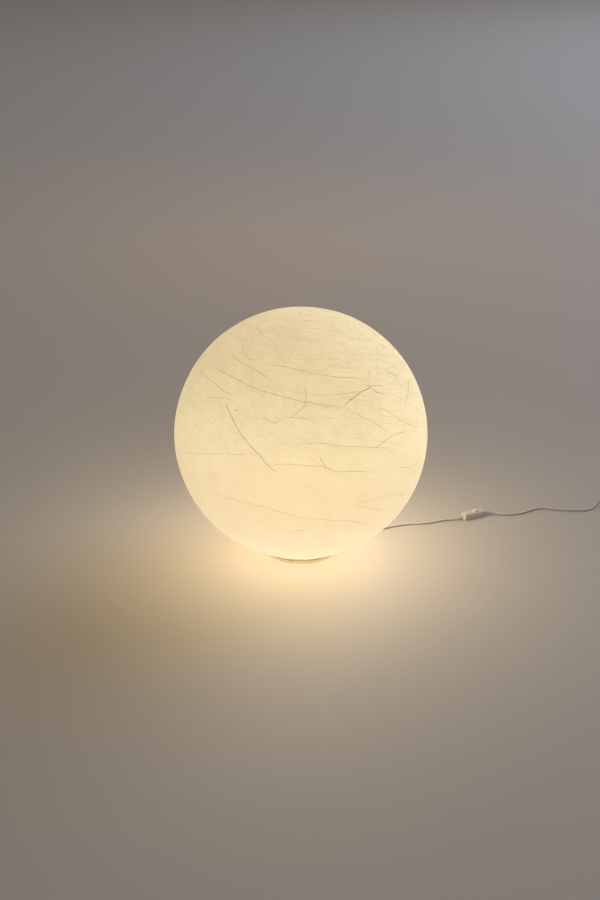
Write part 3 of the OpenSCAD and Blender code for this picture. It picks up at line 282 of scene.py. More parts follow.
# %% Route on the floor between switch, coil and plug
to_coil = laid([
    (481, 188.5, 4.5), (489, 190.8, 3.4), (497, 190.6, 2.3), (505, 188.3, 1.3), (513, 185.8, 0.5),
    (520, 184.4, 0.1), (530, 183.8, 0), (545, 184, 0), (557, 185.5, 0), (569, 189, 0),
    (580, 195, 0), (591, 203, 0), (602, 211, 0), (614, 217.5, 0), (627, 221, 0),
    (640, 221.5, 0), (654, 218.5, 0), (669, 214, 0), (684, 211, 0), (698, 209.5, 0),
    (712, 208.5, 0), (726, 208, 0), (739, 208.5, 0), (750, 212.5, 0), (759, 220, 0),
    (766, 230, 0), (773, 243, 0), (780, 257, 0), (787, 270, 0.1), (796, 281, 0.3),
    (806, 289.5, 0.6), (818, 295, 0.9),
])  # fmt: skip
to_plug = laid([(882.3, 246, 6.6), (883.1, 234, 5.7), (883.8, 223, 4.7)])
print("between switch and coil:", len(to_coil), "points")

# %% The whole second stretch
POINTS_A_TURN = 24
PLUG_REAR = np.array([884, 184, 6.85])
BOOT_L, BOOT_LEAD_IN = 26, 3

coil = coil_point(np.linspace(0, turns, round(POINTS_A_TURN * turns) + 1))
behind_plug = np.array([0, 1, 0])
second_run = np.concatenate([
    [SWITCH_C + SWITCH_INSIDE * along_switch, SWITCH_C + SWITCH_END * along_switch],
    to_coil,
    [coil[0] - 2 * LEAD_R * clockwise(0)],
    coil,
    [coil[-1] + 2 * LEAD_R * clockwise(turns)],
    to_plug,
    [PLUG_REAR + (BOOT_L + BOOT_LEAD_IN) * behind_plug, PLUG_REAR + BOOT_L * behind_plug, PLUG_REAR],
])  # fmt: skip
print("second stretch:", len(second_run), "points, of which the coil has", len(coil))

# %% [markdown]
# A Bezier curve with automatic handles passes through each point and stays smooth, so the
# lead keeps its real route and its real length. Its bevel gives it its thickness.

# %% Make the lead
def flex(name, route_mm):
    """A round lead along the route: an open Bezier spline with a bevel of the lead's radius."""
    data = bpy.data.curves.new(name, "CURVE")
    data.dimensions = "3D"
    data.bevel_depth = LEAD_R * MM
    data.bevel_resolution = 4
    data.resolution_u = 5
    data.use_fill_caps = True
    line = data.splines.new("BEZIER")
    line.bezier_points.add(len(route_mm) - 1)
    line.bezier_points.foreach_set("co", (np.asarray(route_mm) * MM).ravel())
    for point in line.bezier_points:
        point.handle_left_type = point.handle_right_type = "AUTO"
    piece = bpy.data.objects.new(name, data)
    bpy.context.scene.collection.objects.link(piece)
    return piece


def run_length(route_mm):
    """Length in metres of the smooth line through the route's points."""
    return line_length(spline(route_mm, 1.0)) * MM


lead_1 = flex("lead_to_switch_flex", first_run)
lead_2 = flex("lead_to_plug_flex", second_run)
print("lead lengths:", round(run_length(first_run), 3), round(run_length(second_run), 3), "m")

# %% [markdown]
# ## The straps round the coil
# Two hook-and-loop straps hold the coil. Each one is a closed band that follows a rounded
# rectangle round the turns, a little thicker at its woven edges. The band's path is one
# parameter and its cross-section the other.

# %% Straps
LOOP_POINTS, LOOP_CORNER = 96, 3.2
ROOM_INSIDE, ROOM_OUTSIDE, ROOM_ABOVE = 0.5, 1.0, 0.4
SECTION_ACROSS = [-4.5, -4.3, -3.9, -3.3, 0, 3.3, 3.9, 4.3, 4.5, 4.3, 3.3, 0, -3.3, -4.3]
SECTION_UP = [0, 0.32, 0.4, 0.3, 0.32, 0.3, 0.4, 0.32, 0, -0.36, -0.4, -0.4, -0.4, -0.36]


def rounded_loop(width, height, corner, count):
    """Evenly spaced points of a rounded rectangle, centred, as (x, z): a quarter circle is put
    at each corner, turned a quarter further each time."""
    w, h = width / 2 - corner, height / 2 - corner
    arcs = []
    for quarter, middle in enumerate(((w, h), (-w, h), (-w, -h), (w, -h))):
        a = np.radians(np.arange(0, 91, 15) + 90 * quarter)
        arcs.append(middle + corner * np.stack([np.cos(a), np.sin(a)], -1))
    return evenly(np.concatenate(arcs + [arcs[0][:1]]), count, closed=True)


def strap(name, degrees):
    """A band round the coil in that direction: a closed loop in the radial plane, with a section
    of 14 points, thin in the middle and rounded at both edges."""
    innermost = coil_in - DIP - LEAD_R
    inner = math.sqrt(innermost**2 - (STRAP_W / 2) ** 2) - ROOM_INSIDE
    outer = COIL_R + LEAD_R + ROOM_OUTSIDE
    top = STRAP_T + STRAP_GAP + 2 * LEAD_R + STEP + ROOM_ABOVE
    loop = rounded_loop(outer - inner + STRAP_T, top, LOOP_CORNER, LOOP_POINTS)
    centre = np.array([(inner + outer) / 2, (top + STRAP_T) / 2])
    forward = np.roll(loop, -1, 0) - np.roll(loop, 1, 0)
    out = np.stack([forward[:, 1], -forward[:, 0]], -1)
    out /= np.linalg.norm(out, axis=1, keepdims=True)
    ring = centre + loop[:, None, :] + out[:, None, :] * np.array(SECTION_UP)[None, :, None]
    r, across, z = ring[..., 0], np.broadcast_to(SECTION_ACROSS, ring.shape[:2]), ring[..., 1]
    c, s, _ = heading(degrees)
    points = np.stack([COIL_C[0] + c * r - s * across, COIL_C[1] + s * r + c * across, z], -1)
    faces = grid_faces(LOOP_POINTS, len(SECTION_ACROSS), wrap_rows=True)
    return put_mesh(name, points.reshape(-1, 3) * MM, faces[:, ::-1].tolist())


straps = [strap("coil_strap_a", 50), strap("coil_strap_b", 230)]
print("strap faces:", len(straps[0].data.polygons))

# %% [markdown]
# ## The paper ball
# The ball is paper laid in overlapping sheets over a mould, so it is very nearly a sphere, with
# gentle dents of less than a millimetre. It is a grid in latitude and longitude: an outer wall
# from the top pole down to the mouth, then an inner wall back up, 2 mm inside.

# %% Make the ball
MOUTH_R = 0.0862
COLUMNS, ROWS = 240, 120
PAPER_R = GLOBE_R - 0.0003
POLE_ANGLE, FADE_ANGLE = 0.004, 0.3
WAVES, WAVE_PITCH, WAVE_DEPTH = 14, 5.5, 0.00016


def dents(direction):
    """Sum of a few slow waves over the ball, in metres: depth * sin(k . direction + phase)."""
    rng = np.random.default_rng(11)
    wave = rng.normal(size=(WAVES, 3)) * WAVE_PITCH
    phase = rng.uniform(0, 2 * np.pi, WAVES)
    return WAVE_DEPTH * np.sin(direction @ wave.T + phase).sum(-1)


def mouth_angle(radius):
    """Colatitude of the mouth's edge on a ball of that radius."""
    return math.pi - math.asin(MOUTH_R / radius)


def wall(radius, last_angle, rows):
    """One wall: colatitude runs from the pole to last_angle and longitude runs round. Near the
    mouth the dents fade out, because the glued collar holds the paper true."""
    colat = np.linspace(POLE_ANGLE, last_angle, rows)[:, None]
    lon = np.linspace(0, 2 * np.pi, COLUMNS, endpoint=False)[None, :]
    level, up = np.sin(colat), np.cos(colat)
    d = np.stack([level * np.cos(lon), level * np.sin(lon), up + 0 * lon], -1)
    fade = np.clip((last_angle - colat) / FADE_ANGLE, 0, 1)
    return GLOBE_C + d * (radius + dents(d) * fade)[..., None]


INNER_R = GLOBE_R - PAPER_T
outer_wall = wall(PAPER_R, mouth_angle(GLOBE_R), ROWS)
inner_wall = wall(INNER_R, mouth_angle(INNER_R), ROWS // 2)
grid = np.concatenate([outer_wall, inner_wall[::-1]])
points = grid.reshape(-1, 3)
caps = [list(range(COLUMNS)), list(range(len(points) - COLUMNS, len(points)))[::-1]]
paper = put_mesh("paper_globe", points, grid_faces(len(grid), COLUMNS).tolist() + caps)
lowest = round(float(points[:, 2].min()), 4)
print("paper faces:", len(paper.data.polygons), "lowest point", lowest)

# %% [markdown]
# ## Fibres of the paper
# Handmade mulberry paper has long bast fibres laid in it. The dark ones stand out against the
# light. The photograph shows about forty, and 35 of them were followed and written as a few
# picture points, which a ray from the camera carries onto the ball. A strand is a flat ribbon
# half sunk in the paper, with pointed ends.

# %% Picture points onto the ball
def onto_ball(picture_points, radius):
    """Where the ray through each picture point first meets a ball of that radius. With x and y
    from the picture's centre, the ray leaves the camera at (x / f, -y / f, -1), where f is the
    focal length in pixels, and is turned by the camera's tilt about X."""
    p = (np.asarray(picture_points, float) - [PICTURE_W / 2, PICTURE_H / 2]) / FOCAL_PX
    ray = np.stack([p[:, 0], -p[:, 1], -np.ones(len(p))], -1)
    c, s = math.cos(CAMERA_TILT), math.sin(CAMERA_TILT)
    ray = ray @ np.array([[1, 0, 0], [0, c, s], [0, -s, c]])
    ray /= np.linalg.norm(ray, axis=1, keepdims=True)
    to_centre = GLOBE_C - CAMERA_AT
    along = ray @ to_centre
    inside = np.maximum(radius**2 - (to_centre @ to_centre - along**2), 0)
    return CAMERA_AT + ray * (along - np.sqrt(inside))[:, None]


# Each strand is its weight, which scales its width, and its picture points
STRANDS = [
    (1.0, [(225, 402), (229.4, 412), (235, 424), (241.4, 435), (250.6, 446), (261, 457),
        (267.3, 465), (273.7, 470.3), (280, 472)]),
    (1.15, [(342, 407), (352, 399), (361, 392), (369, 388), (372.7, 384.7)]),
    (0.8, [(372, 385.5), (374.5, 386), (379, 385), (383, 386.5)]),
    (0.8, [(371, 387), (373, 388), (375.5, 391.4), (380, 393), (385, 393.6)]),
    (0.6, [(363, 384), (367, 385.5), (371, 386)]),
    (0.7, [(375.5, 449.4), (381, 444), (389.3, 438), (396.7, 434), (407, 431)]),
    (0.42, [(182, 453), (206, 453.5), (238, 454.5), (254, 455)]),
    (0.58, [(269, 465), (289.5, 464), (308, 465.7), (324.6, 467.2), (334, 471.2), (342, 471.2),
        (369, 472), (374, 474.5)]),
    (0.6, [(319, 455.5), (324.6, 465.7), (327.4, 468.5)]),
    (0.5, [(210, 492.5), (230, 499), (258, 505.5), (289.5, 514.7), (308, 519.3), (323, 519),
        (336, 521.5), (347, 520.8), (369, 524.5), (381, 523.4)]),
    (0.7, [(212.7, 365.5), (219, 370), (228.4, 375), (243, 382.5), (260, 390), (278.4, 395.4),
        (300.6, 401), (323, 405), (342, 407)]),
    (0.6, [(231, 355), (243, 363), (258, 371.4), (272, 380.6)]),
    (0.6, [(199.8, 371.4), (213.6, 382.5), (223.8, 390.8), (233, 395)]),
    (0.5, [(205, 397), (215.5, 397.6), (224.7, 398.6)]),
    (0.6, [(263.6, 415.4), (269, 420.4), (275.6, 423.2), (278.4, 420.4)]),
    (0.6, [(265.4, 364.3), (286, 367), (304, 371.4), (323, 375.4), (347, 377.8), (360, 376.6)]),
    (0.55, [(311.7, 393.6), (323, 395), (337.5, 394.7), (352, 392.6), (360, 390.8)]),
    (0.5, [(382, 408.4), (395, 415.8), (406, 423), (420, 428)]),
    (0.5, [(345, 407), (360, 416), (374.5, 423), (390, 432.4)]),
    (0.5, [(296, 445), (319, 443), (345, 446), (375, 447.5), (389, 448)]),
    (0.6, [(304, 384), (306, 393.6), (305, 404.7), (297, 413), (289.5, 418.5)]),
    (0.6, [(369, 369.5), (370, 377), (367, 382.5)]),
    (0.5, [(409, 379), (408, 393.6), (405, 403)]),
    (0.36, [(361.6, 502.7), (389, 496), (408, 495)]),
    (0.36, [(356, 506), (370, 508.5), (382, 510)]),
    (0.5, [(289.5, 534), (297, 530.4), (308, 532.3)]),
    (0.6, [(400, 467.5), (411.5, 468.5), (416, 473)]),
    (0.5, [(411, 466.5), (413.4, 465.7), (419, 463)]),
    (0.5, [(345, 339), (360, 338.5), (373, 341)]),
    (0.5, [(384, 369.5), (391, 373), (398.6, 377)]),
    (0.55, [(260, 320.5), (257.6, 327), (260.8, 333.5)]),
    (0.55, [(243, 343.6), (244, 351), (249, 359), (256, 360)]),
    (1.0, [(234.5, 409.5), (236, 410), (237.5, 410.8)]),
    (0.9, [(194, 424), (195, 424.6), (196.2, 425)]),
    (0.9, [(207, 419), (208, 419.5), (209, 420.3)]),
]  # fmt: skip
print("strands followed:", len(STRANDS))

# %% Ribbons on the ball
RIBBON_ACROSS = np.array([-1.0, -0.45, 0.45, 1.0])
SUNK = 0.0006
POINTED, TIP = 0.12, 0.06


def unit(vectors):
    return vectors / (np.linalg.norm(vectors, axis=-1, keepdims=True) + 1e-12)


def ribbons(name, lines, half_widths, rise):
    """Flat ribbons on the ball. lines is (strands, samples, 3) and half_widths (strands,). The
    cross-section has four points: two edges sunk in the paper and two that stand proud by
    rise. It narrows to a point as the square root of the distance from either end."""
    count, samples, _ = lines.shape
    normal = unit(lines - GLOBE_C)
    side = unit(np.cross(normal, np.gradient(lines, axis=1)))
    t = np.linspace(0, 1, samples)
    taper = np.clip(np.sqrt(np.minimum(t, 1 - t) / POINTED), TIP, 1)
    out = (half_widths[:, None] * taper)[..., None] * RIBBON_ACROSS
    up = np.stack([np.full(samples, -SUNK), rise * taper, rise * taper, np.full(samples, -SUNK)], -1)
    points = lines[:, :, None] + side[:, :, None] * out[..., None] + normal[:, :, None] * up[..., None]
    last = 4 * samples - 1
    ends = [[0, 1, 2, 3], [last, last - 1, last - 2, last - 3]]
    one = np.concatenate([grid_faces(samples, 4)[:, ::-1], ends])
    first = np.arange(count)[:, None, None] * (last + 1)
    return put_mesh(name, points.reshape(-1, 3), (one + first).reshape(-1, 4).tolist())


def seated(lines):
    """The lines moved along their radii onto the paper's outer face, dents included."""
    d = unit(lines - GLOBE_C)
    return GLOBE_C + d * (PAPER_R + dents(d))[..., None]


print("ribbon sunk by", SUNK, "m")

# %% Strands of the photograph
SAMPLES, STRAND_HALF_W, STRAND_RISE = 28, 0.0011, 0.0003

traced = [evenly(onto_ball(spline(points, 1.0), GLOBE_R), SAMPLES) for _, points in STRANDS]
half_widths = np.array([weight for weight, _ in STRANDS]) * STRAND_HALF_W
bark_strands = ribbons("bark_strands_front", seated(np.stack(traced)), half_widths, STRAND_RISE)
print("front strands:", len(bark_strands.data.polygons), "faces")

# %% [markdown]
# The photograph shows one side only, so the rest of the ball gets strands of the same kind from
# a seeded random source: most lie nearly level, drop a little to the right, and meander. Finer
# hairs cover the whole ball and are closer together in its upper third.

# %% Lines that wander
UPPER_SHARE, LEVEL_SHARE = 0.68, 0.85
WAVE_H, WAVE_PITCHES, WAVY_FROM = 0.0016, (0.008, 0.03), 0.08


def wandering(count, seed, lengths, bend, samples):
    """Lines that wander over the ball: u runs along and v = bend * u^2 + slow waves runs across,
    and the plane (u, v) is wrapped onto the ball along great circles from the line's middle."""
    rng = np.random.default_rng(seed)
    is_upper = rng.uniform(size=count) < UPPER_SHARE
    z = np.where(is_upper, rng.uniform(0.15, 0.985, count), rng.uniform(-0.88, 0.9, count))
    lon = rng.uniform(0, 2 * np.pi, count)
    flat = np.sqrt(1 - z**2)
    middle = np.stack([flat * np.cos(lon), flat * np.sin(lon), z], -1)
    east = np.stack([-np.sin(lon), np.cos(lon), 0 * lon], -1)
    north = np.cross(middle, east)
    is_level = rng.uniform(size=count) < LEVEL_SHARE
    turn = np.where(is_level, rng.normal(-0.26, 0.2, count), rng.uniform(-1.5, 1.5, count))[:, None]
    along = np.cos(turn) * east + np.sin(turn) * north
    aside = np.cos(turn) * north - np.sin(turn) * east
    length = rng.uniform(*lengths, count)[:, None]
    u = np.linspace(-0.5, 0.5, samples)[None] * length
    curve = rng.normal(0, bend, count)[:, None] * u**2
    wave = 0
    for _ in range(2):
        height = rng.normal(0, WAVE_H, count)[:, None]
        pitch = rng.uniform(*WAVE_PITCHES, count)[:, None]
        wave = wave + height * np.sin(u / pitch + rng.uniform(0, 6, count)[:, None])
    v = curve + wave * np.minimum(length / WAVY_FROM, 1)
    r = np.hypot(u, v) + 1e-9
    outward = (u / r)[..., None] * along[:, None] + (v / r)[..., None] * aside[:, None]
    angle = (r / GLOBE_R)[..., None]
    return GLOBE_C + GLOBE_R * (np.cos(angle) * middle[:, None] + np.sin(angle) * outward)


print("one line:", wandering(count=1, seed=1, lengths=(0.1, 0.1), bend=1.0, samples=9).shape)

# %% Strands all round
LOWEST, SEAM = -0.93, 0.02
BARK_HALF_W, HAIR_HALF_W = (0.0005, 0.00115), (0.00022, 0.00052)
HAIR_RISE = 0.00018


def clear_of_mouth(lines):
    """The lines that stay above the mouth and its collar."""
    return lines[lines[..., 2].min(axis=1) > GLOBE_C[2] + LOWEST * GLOBE_R]


toward = unit(CAMERA_AT - GLOBE_C)
lines = wandering(count=190, seed=5, lengths=(0.03, 0.20), bend=2.0, samples=24)
far_side = (lines - GLOBE_C) @ toward < SEAM * GLOBE_R
lines = seated(clear_of_mouth(lines[far_side.all(axis=1)]))
rng = np.random.default_rng(6)
half_widths = rng.uniform(*BARK_HALF_W, len(lines))
bark_back = ribbons("bark_strands_round", lines, half_widths, STRAND_RISE)
print("strands on the far side:", len(lines))

lines = wandering(count=900, seed=8, lengths=(0.03, 0.22), bend=1.6, samples=18)
lines = seated(clear_of_mouth(lines))
half_widths = rng.uniform(*HAIR_HALF_W, len(lines))
hairs = ribbons("fine_hairs", lines, half_widths, HAIR_RISE)
print("fine hairs:", len(lines), "faces", len(hairs.data.polygons))

# %% [markdown]
# ## Mulberry paper lit from inside
# The paper is unbleached, so it is a warm white, and its pulp lies in soft clouds a few
# centimetres across. Hair-thin fibres wander through it: a line of equal value in a slow,
# twisted noise looks like one. Light from the bulb comes through the paper, so it also shines
# by itself, more strongly where the bulb is nearer, and hardly at all where the collar is glued
# behind it.

# %% Light from behind
GLOW, GLOW_LOW = (0.67, 0.55, 0.335, 1.0), (0.70, 0.62, 0.45, 1.0)
NEAR_BULB = (0.33, 0.40, 1.0, 0.68)
PAST_FLANGE = (0.021, 0.030, 0.15, 1.0)
LOW_PART = (0.05, 0.22, 0.0, 1.0)


def lamp_light(tree, place):
    """How strongly the paper shines at each place, and its tint. The strength falls from 1 at
    33 cm from the bulb to 0.68 at 40 cm, and to 0.15 where the collar's flange is glued behind
    the paper. Low on the ball the tint is paler, where most light comes through."""
    from_bulb = add_node(tree, "VectorMath", {"operation": "SUBTRACT"}, {1: BULB_C.tolist()}, {0: place})
    distance = add_node(tree, "VectorMath", {"operation": "LENGTH"}, {}, {0: from_bulb.outputs[0]})
    near = add_node(tree, "MapRange", {}, dict(zip(MAP, NEAR_BULB)), {"Value": distance.outputs[1]})
    height = add_node(tree, "SeparateXYZ", {}, {}, {0: place}).outputs[2]
    bare = add_node(tree, "MapRange", {}, dict(zip(MAP, PAST_FLANGE)), {"Value": height})
    up = add_node(tree, "MapRange", {}, dict(zip(MAP, LOW_PART)), {"Value": height})
    tint = add_node(tree, "Mix", {"data_type": "RGBA"}, {6: GLOW_LOW, 7: GLOW}, {0: up.outputs[0]})
    both = add_node(tree, "Math", {"operation": "MULTIPLY"}, {}, {0: near.outputs[0], 1: bare.outputs[0]})
    return both.outputs[0], tint.outputs[2]


print("glow of the paper:", GLOW[:3])

# %% Paper material
paper_material, tree, shader, place = new_material("mulberry_paper", Roughness=0.86, IOR=1.45)
shader.inputs["Sheen Weight"].default_value = 0.12
shader.inputs["Sheen Roughness"].default_value = 0.5
CLOUD, PULP = 0.045, 0.0045
cloud_values = {"Scale": 1 / CLOUD, "Detail": 3.0, "Roughness": 0.6}
clouds = add_node(tree, "TexNoise", {}, cloud_values, {"Vector": place})
pulp = add_node(tree, "TexNoise", {}, {"Scale": 1 / PULP, "Detail": 2.0}, {"Vector": place})


def fibre_mask(size, seed, width):
    """1 on thin wandering lines and 0 between them: how near a twisted noise is to 0.5."""
    values = {"W": seed, "Scale": 1 / size, "Detail": 1.5, "Distortion": 1.4}
    slow = add_node(tree, "TexNoise", {"noise_dimensions": "4D"}, values, {"Vector": place})
    off = add_node(tree, "Math", {"operation": "SUBTRACT"}, {1: 0.5}, {0: slow.outputs[0]})
    gap = add_node(tree, "Math", {"operation": "ABSOLUTE"}, {}, {0: off.outputs[0]})
    mask = add_node(tree, "MapRange", {}, dict(zip(MAP, (0.0, width, 1.0, 0.0))), {"Value": gap.outputs[0]})
    return mask.outputs[0]


coarse_fibres = fibre_mask(size=0.085, seed=1.0, width=0.0065)
fine_fibres = fibre_mask(size=0.040, seed=7.0, width=0.012)
fine_share = {1: 0.55}
fibres = add_node(tree, "Math", {"operation": "MULTIPLY_ADD"}, fine_share, {0: fine_fibres, 2: coarse_fibres})
fibres = fibres.outputs[0]
print("paper nodes so far:", len(tree.nodes))

# %% Paper colour
PAPER_WHITE, PAPER_DENSE, FIBRE_TAN = "#cfbb92", "#c9b489", "#a68f64"
CLOUD_SHARE = (0.34, 0.66, 0.0, 1.0)
FIBRE_SHARE = 0.30

dense = add_node(tree, "MapRange", {}, dict(zip(MAP, CLOUD_SHARE)), {"Value": clouds.outputs[0]})
tones = {6: linear(PAPER_DENSE), 7: linear(PAPER_WHITE)}
body = add_node(tree, "Mix", {"data_type": "RGBA"}, tones, {0: dense.outputs[0]})
share = add_node(tree, "Math", {"operation": "MULTIPLY"}, {1: FIBRE_SHARE}, {0: fibres})
tan = {7: linear(FIBRE_TAN)}
colour = add_node(tree, "Mix", {"data_type": "RGBA"}, tan, {0: share.outputs[0], 6: body.outputs[2]})
tree.links.new(colour.outputs[2], shader.inputs["Base Color"])
print("paper colour:", PAPER_WHITE, "to", PAPER_DENSE)

# %% Paper glow and relief
THIN_CLOUDS = (0.34, 0.66, 0.97, 1.02)
THIN_PULP = (0.3, 0.7, 0.98, 1.02)
FIBRE_SHADE = 0.10
FIBRE_RELIEF, RELIEF_DEPTH = 0.7, 0.0002

thin = add_node(tree, "MapRange", {}, dict(zip(MAP, THIN_CLOUDS)), {"Value": clouds.outputs[0]})
thinner = add_node(tree, "MapRange", {}, dict(zip(MAP, THIN_PULP)), {"Value": pulp.outputs[0]})
shade = add_node(tree, "Math", {"operation": "MULTIPLY_ADD"}, {1: -FIBRE_SHADE, 2: 1.0}, {0: fibres})
strength, tint = lamp_light(tree, place)
for part in (thin, thinner, shade):
    product = add_node(tree, "Math", {"operation": "MULTIPLY"}, {}, {0: strength, 1: part.outputs[0]})
    strength = product.outputs[0]
shines(tree, shader, tint, strength)

links = {0: fibres, 2: pulp.outputs[0]}
relief = add_node(tree, "Math", {"operation": "MULTIPLY_ADD"}, {1: FIBRE_RELIEF}, links)
depth = {"Strength": 1.0, "Distance": RELIEF_DEPTH}
dimple = add_node(tree, "Bump", {}, depth, {"Height": relief.outputs[0]})
tree.links.new(dimple.outputs["Normal"], shader.inputs["Normal"])
print("paper nodes:", len(tree.nodes))

# %% [markdown]
# The strands are bark fibres that were not cleaned off. They are brown-grey and let less light
# through, so they glow less than the paper round them. The fine hairs are only a little darker
# than the paper.

# %% Strand materials
PATCH = 0.012
PATCH_SHARE = (0.35, 0.65)
FIBRE_CAST = (0.90, 1.09, 1.0)


def strand_material(name, light, dark, passes):
    """Bast fibre: olive to brown in patches 12 mm long, matt. passes is the lowest and highest
    share of the paper's own glow that comes through, a little greener than it went in."""
    material, tree, shader, place = new_material(name, Roughness=0.8)
    patches = add_node(tree, "TexNoise", {}, {"Scale": 1 / PATCH, "Detail": 2.0}, {"Vector": place})
    value = {"Value": patches.outputs[0]}
    share = add_node(tree, "MapRange", {}, dict(zip(MAP, (*PATCH_SHARE, 0.0, 1.0))), value)
    tones = {6: linear(dark), 7: linear(light)}
    tone = add_node(tree, "Mix", {"data_type": "RGBA"}, tones, {0: share.outputs[0]})
    tree.links.new(tone.outputs[2], shader.inputs["Base Color"])
    strength, tint = lamp_light(tree, place)
    passed = add_node(tree, "MapRange", {}, dict(zip(MAP, (*PATCH_SHARE, *passes))), value)
    left = add_node(tree, "Math", {"operation": "MULTIPLY"}, {}, {0: strength, 1: passed.outputs[0]})
    cast = add_node(tree, "VectorMath", {"operation": "MULTIPLY"}, {1: FIBRE_CAST}, {0: tint})
    shines(tree, shader, cast.outputs[0], left.outputs[0])
    return material


bark = strand_material("mulberry_bark_fibre", "#88846a", "#69654e", (0.30, 0.55))
hair = strand_material("mulberry_hair_fibre", "#a7a381", "#94916f", (0.68, 0.84))
for piece, material in ((paper, paper_material), (bark_strands, bark), (bark_back, bark), (hairs, hair)):
    piece.data.materials.clear()
    piece.data.materials.append(material)
print("ball pieces dressed")

# %% [markdown]
# ## Finishes of the hard pieces
# Each hard piece keeps its CAD shape. Its finish has three parts: a colour that drifts between
# two near tones, a gloss that drifts with it, and a fine relief. Moulded plastic has a
# spark-eroded grain of half a millimetre, paint has orange peel of two, and drawn or turned
# metal has fine lines, which are the same noise squeezed along one direction.

# %% One finish from real sizes
TONE_SHARE, GLOSS_SHARE = (0.33, 0.67), (0.3, 0.7)


def finish(name, tone_a, tone_b, patch, gloss, relief, depth, squeeze=(1, 1, 1), **shader_values):
    """tone_a to tone_b over patches of that size in metres. gloss is the lowest and highest
    roughness. relief is the size of the surface grain and depth its height, in metres."""
    material, tree, shader, place = new_material(name, **shader_values)
    squeezed = add_node(tree, "Mapping", {}, {"Scale": squeeze}, {"Vector": place}).outputs[0]
    drift = {"Scale": 1 / patch, "Detail": 3.0, "Roughness": 0.55}
    patches = add_node(tree, "TexNoise", {}, drift, {"Vector": squeezed})
    grain = add_node(tree, "TexNoise", {}, {"Scale": 1 / relief, "Detail": 2.0}, {"Vector": squeezed})
    value = {"Value": patches.outputs[0]}
    share = add_node(tree, "MapRange", {}, dict(zip(MAP, (*TONE_SHARE, 0.0, 1.0))), value)
    tones = {6: linear(tone_a), 7: linear(tone_b)}
    tone = add_node(tree, "Mix", {"data_type": "RGBA"}, tones, {0: share.outputs[0]})
    tree.links.new(tone.outputs[2], shader.inputs["Base Color"])
    rough = add_node(tree, "MapRange", {}, dict(zip(MAP, (*GLOSS_SHARE, *gloss))), value)
    tree.links.new(rough.outputs[0], shader.inputs["Roughness"])
    bump_values = {"Strength": 1.0, "Distance": depth}
    bumps = add_node(tree, "Bump", {}, bump_values, {"Height": grain.outputs[0]})
    tree.links.new(bumps.outputs["Normal"], shader.inputs["Normal"])
    return material


print("tones drift over", TONE_SHARE, "of the noise")

# %% All the finishes
FINISHES = {
    "washi_paper": paper_material,
    # Powder coat on pressed steel: cream, satin, with orange peel about 2 mm across
    "cream_paint": finish(
        "powder_coat_cream", "#d6cbb2", "#ddd3bc", 0.05, (0.42, 0.52), 0.002, 0.00006, IOR=1.5),
    # Bright zinc plate: pale blue-grey metal, rolled lines that scatter the reflection
    "zinc_steel": finish(
        "zinc_plated_steel", "#b4b8bb", "#c6c8c6", 0.008, (0.26, 0.42), 0.0009, 0.00002,
        (1, 1, 4), Metallic=1.0),
    # Sand-cast iron: dark grey, grains of sand a millimetre across have left pits
    "raw_iron": finish(
        "cast_iron", "#4b4845", "#5a5652", 0.012, (0.62, 0.78), 0.0014, 0.00022, Metallic=0.85),
    # Moulded rubber: black, matt, very slightly dusty
    "black_rubber": finish(
        "black_rubber", "#1d1d1e", "#2a2a2b", 0.010, (0.74, 0.86), 0.0007, 0.00004, IOR=1.52),
    # Flexible PVC: grey with a little mauve, soft gloss, faint waves from extrusion
    "lead_grey": finish(
        "grey_pvc", "#96969a", "#9e9ea2", 0.030, (0.56, 0.66), 0.003, 0.00003, IOR=1.53),
    # Polycarbonate and polyamide housings: white, even, fine spark grain
    "housing_white": finish(
        "white_polyamide", "#dddad2", "#e5e3dc", 0.025, (0.36, 0.46), 0.0005, 0.000012, IOR=1.53),
    # The switch and plug: glossier urea moulding, a greyed ivory in this light
    "switch_ivory": finish(
        "ivory_urea_moulding", "#999693", "#a29e9b", 0.020, (0.28, 0.38), 0.0005, 0.000010, IOR=1.56),
    # Steatite: off-white unglazed porcelain with a dry grain
    "porcelain": finish(
        "steatite_porcelain", "#e0ddd3", "#ebe9e2", 0.010, (0.48, 0.62), 0.0006, 0.00003, IOR=1.6),
    # Drawn brass: yellow metal, slightly tarnished in patches
    "brass": finish(
        "drawn_brass", "#b8924c", "#cba75e", 0.006, (0.24, 0.40), 0.0008, 0.00002, (1, 1, 3), Metallic=1.0),
    # Wire insulation: smooth coloured PVC
    "brown_core": finish(
        "brown_pvc", "#5b3a22", "#68452b", 0.015, (0.36, 0.46), 0.002, 0.00002, IOR=1.53),
    "blue_core": finish(
        "blue_pvc", "#2c5c97", "#3768a5", 0.015, (0.36, 0.46), 0.002, 0.00002, IOR=1.53),
    # Solder: dull grey metal with flow marks
    "solder_tin": finish(
        "tin_solder", "#9a9a98", "#b3b2ae", 0.003, (0.34, 0.52), 0.0012, 0.00008, Metallic=1.0),
    # Phenolic: near-black, satin
    "black_plastic": finish(
        "black_phenolic", "#1f1f20", "#29292a", 0.008, (0.32, 0.44), 0.0005, 0.000015, IOR=1.55),
    # Nickel plate: bright warm-grey metal
    "nickel": finish(
        "nickel_plate", "#c0bbb0", "#cdc9c0", 0.006, (0.18, 0.30), 0.0008, 0.000015, (1, 1, 3), Metallic=1.0),
    # The light engine's board: aluminium under white solder mask
    "board_aluminium": finish(
        "white_masked_aluminium", "#d7d9d9", "#e2e4e3", 0.006, (0.34, 0.46), 0.0007, 0.00001, IOR=1.5),
    # Phosphor over the chips: warm yellow silicone
    "chip_yellow": finish(
        "phosphor_silicone", "#e3b73c", "#edc95a", 0.002, (0.40, 0.52), 0.0005, 0.00001, IOR=1.42),
}  # fmt: skip
print("finishes:", len(FINISHES))

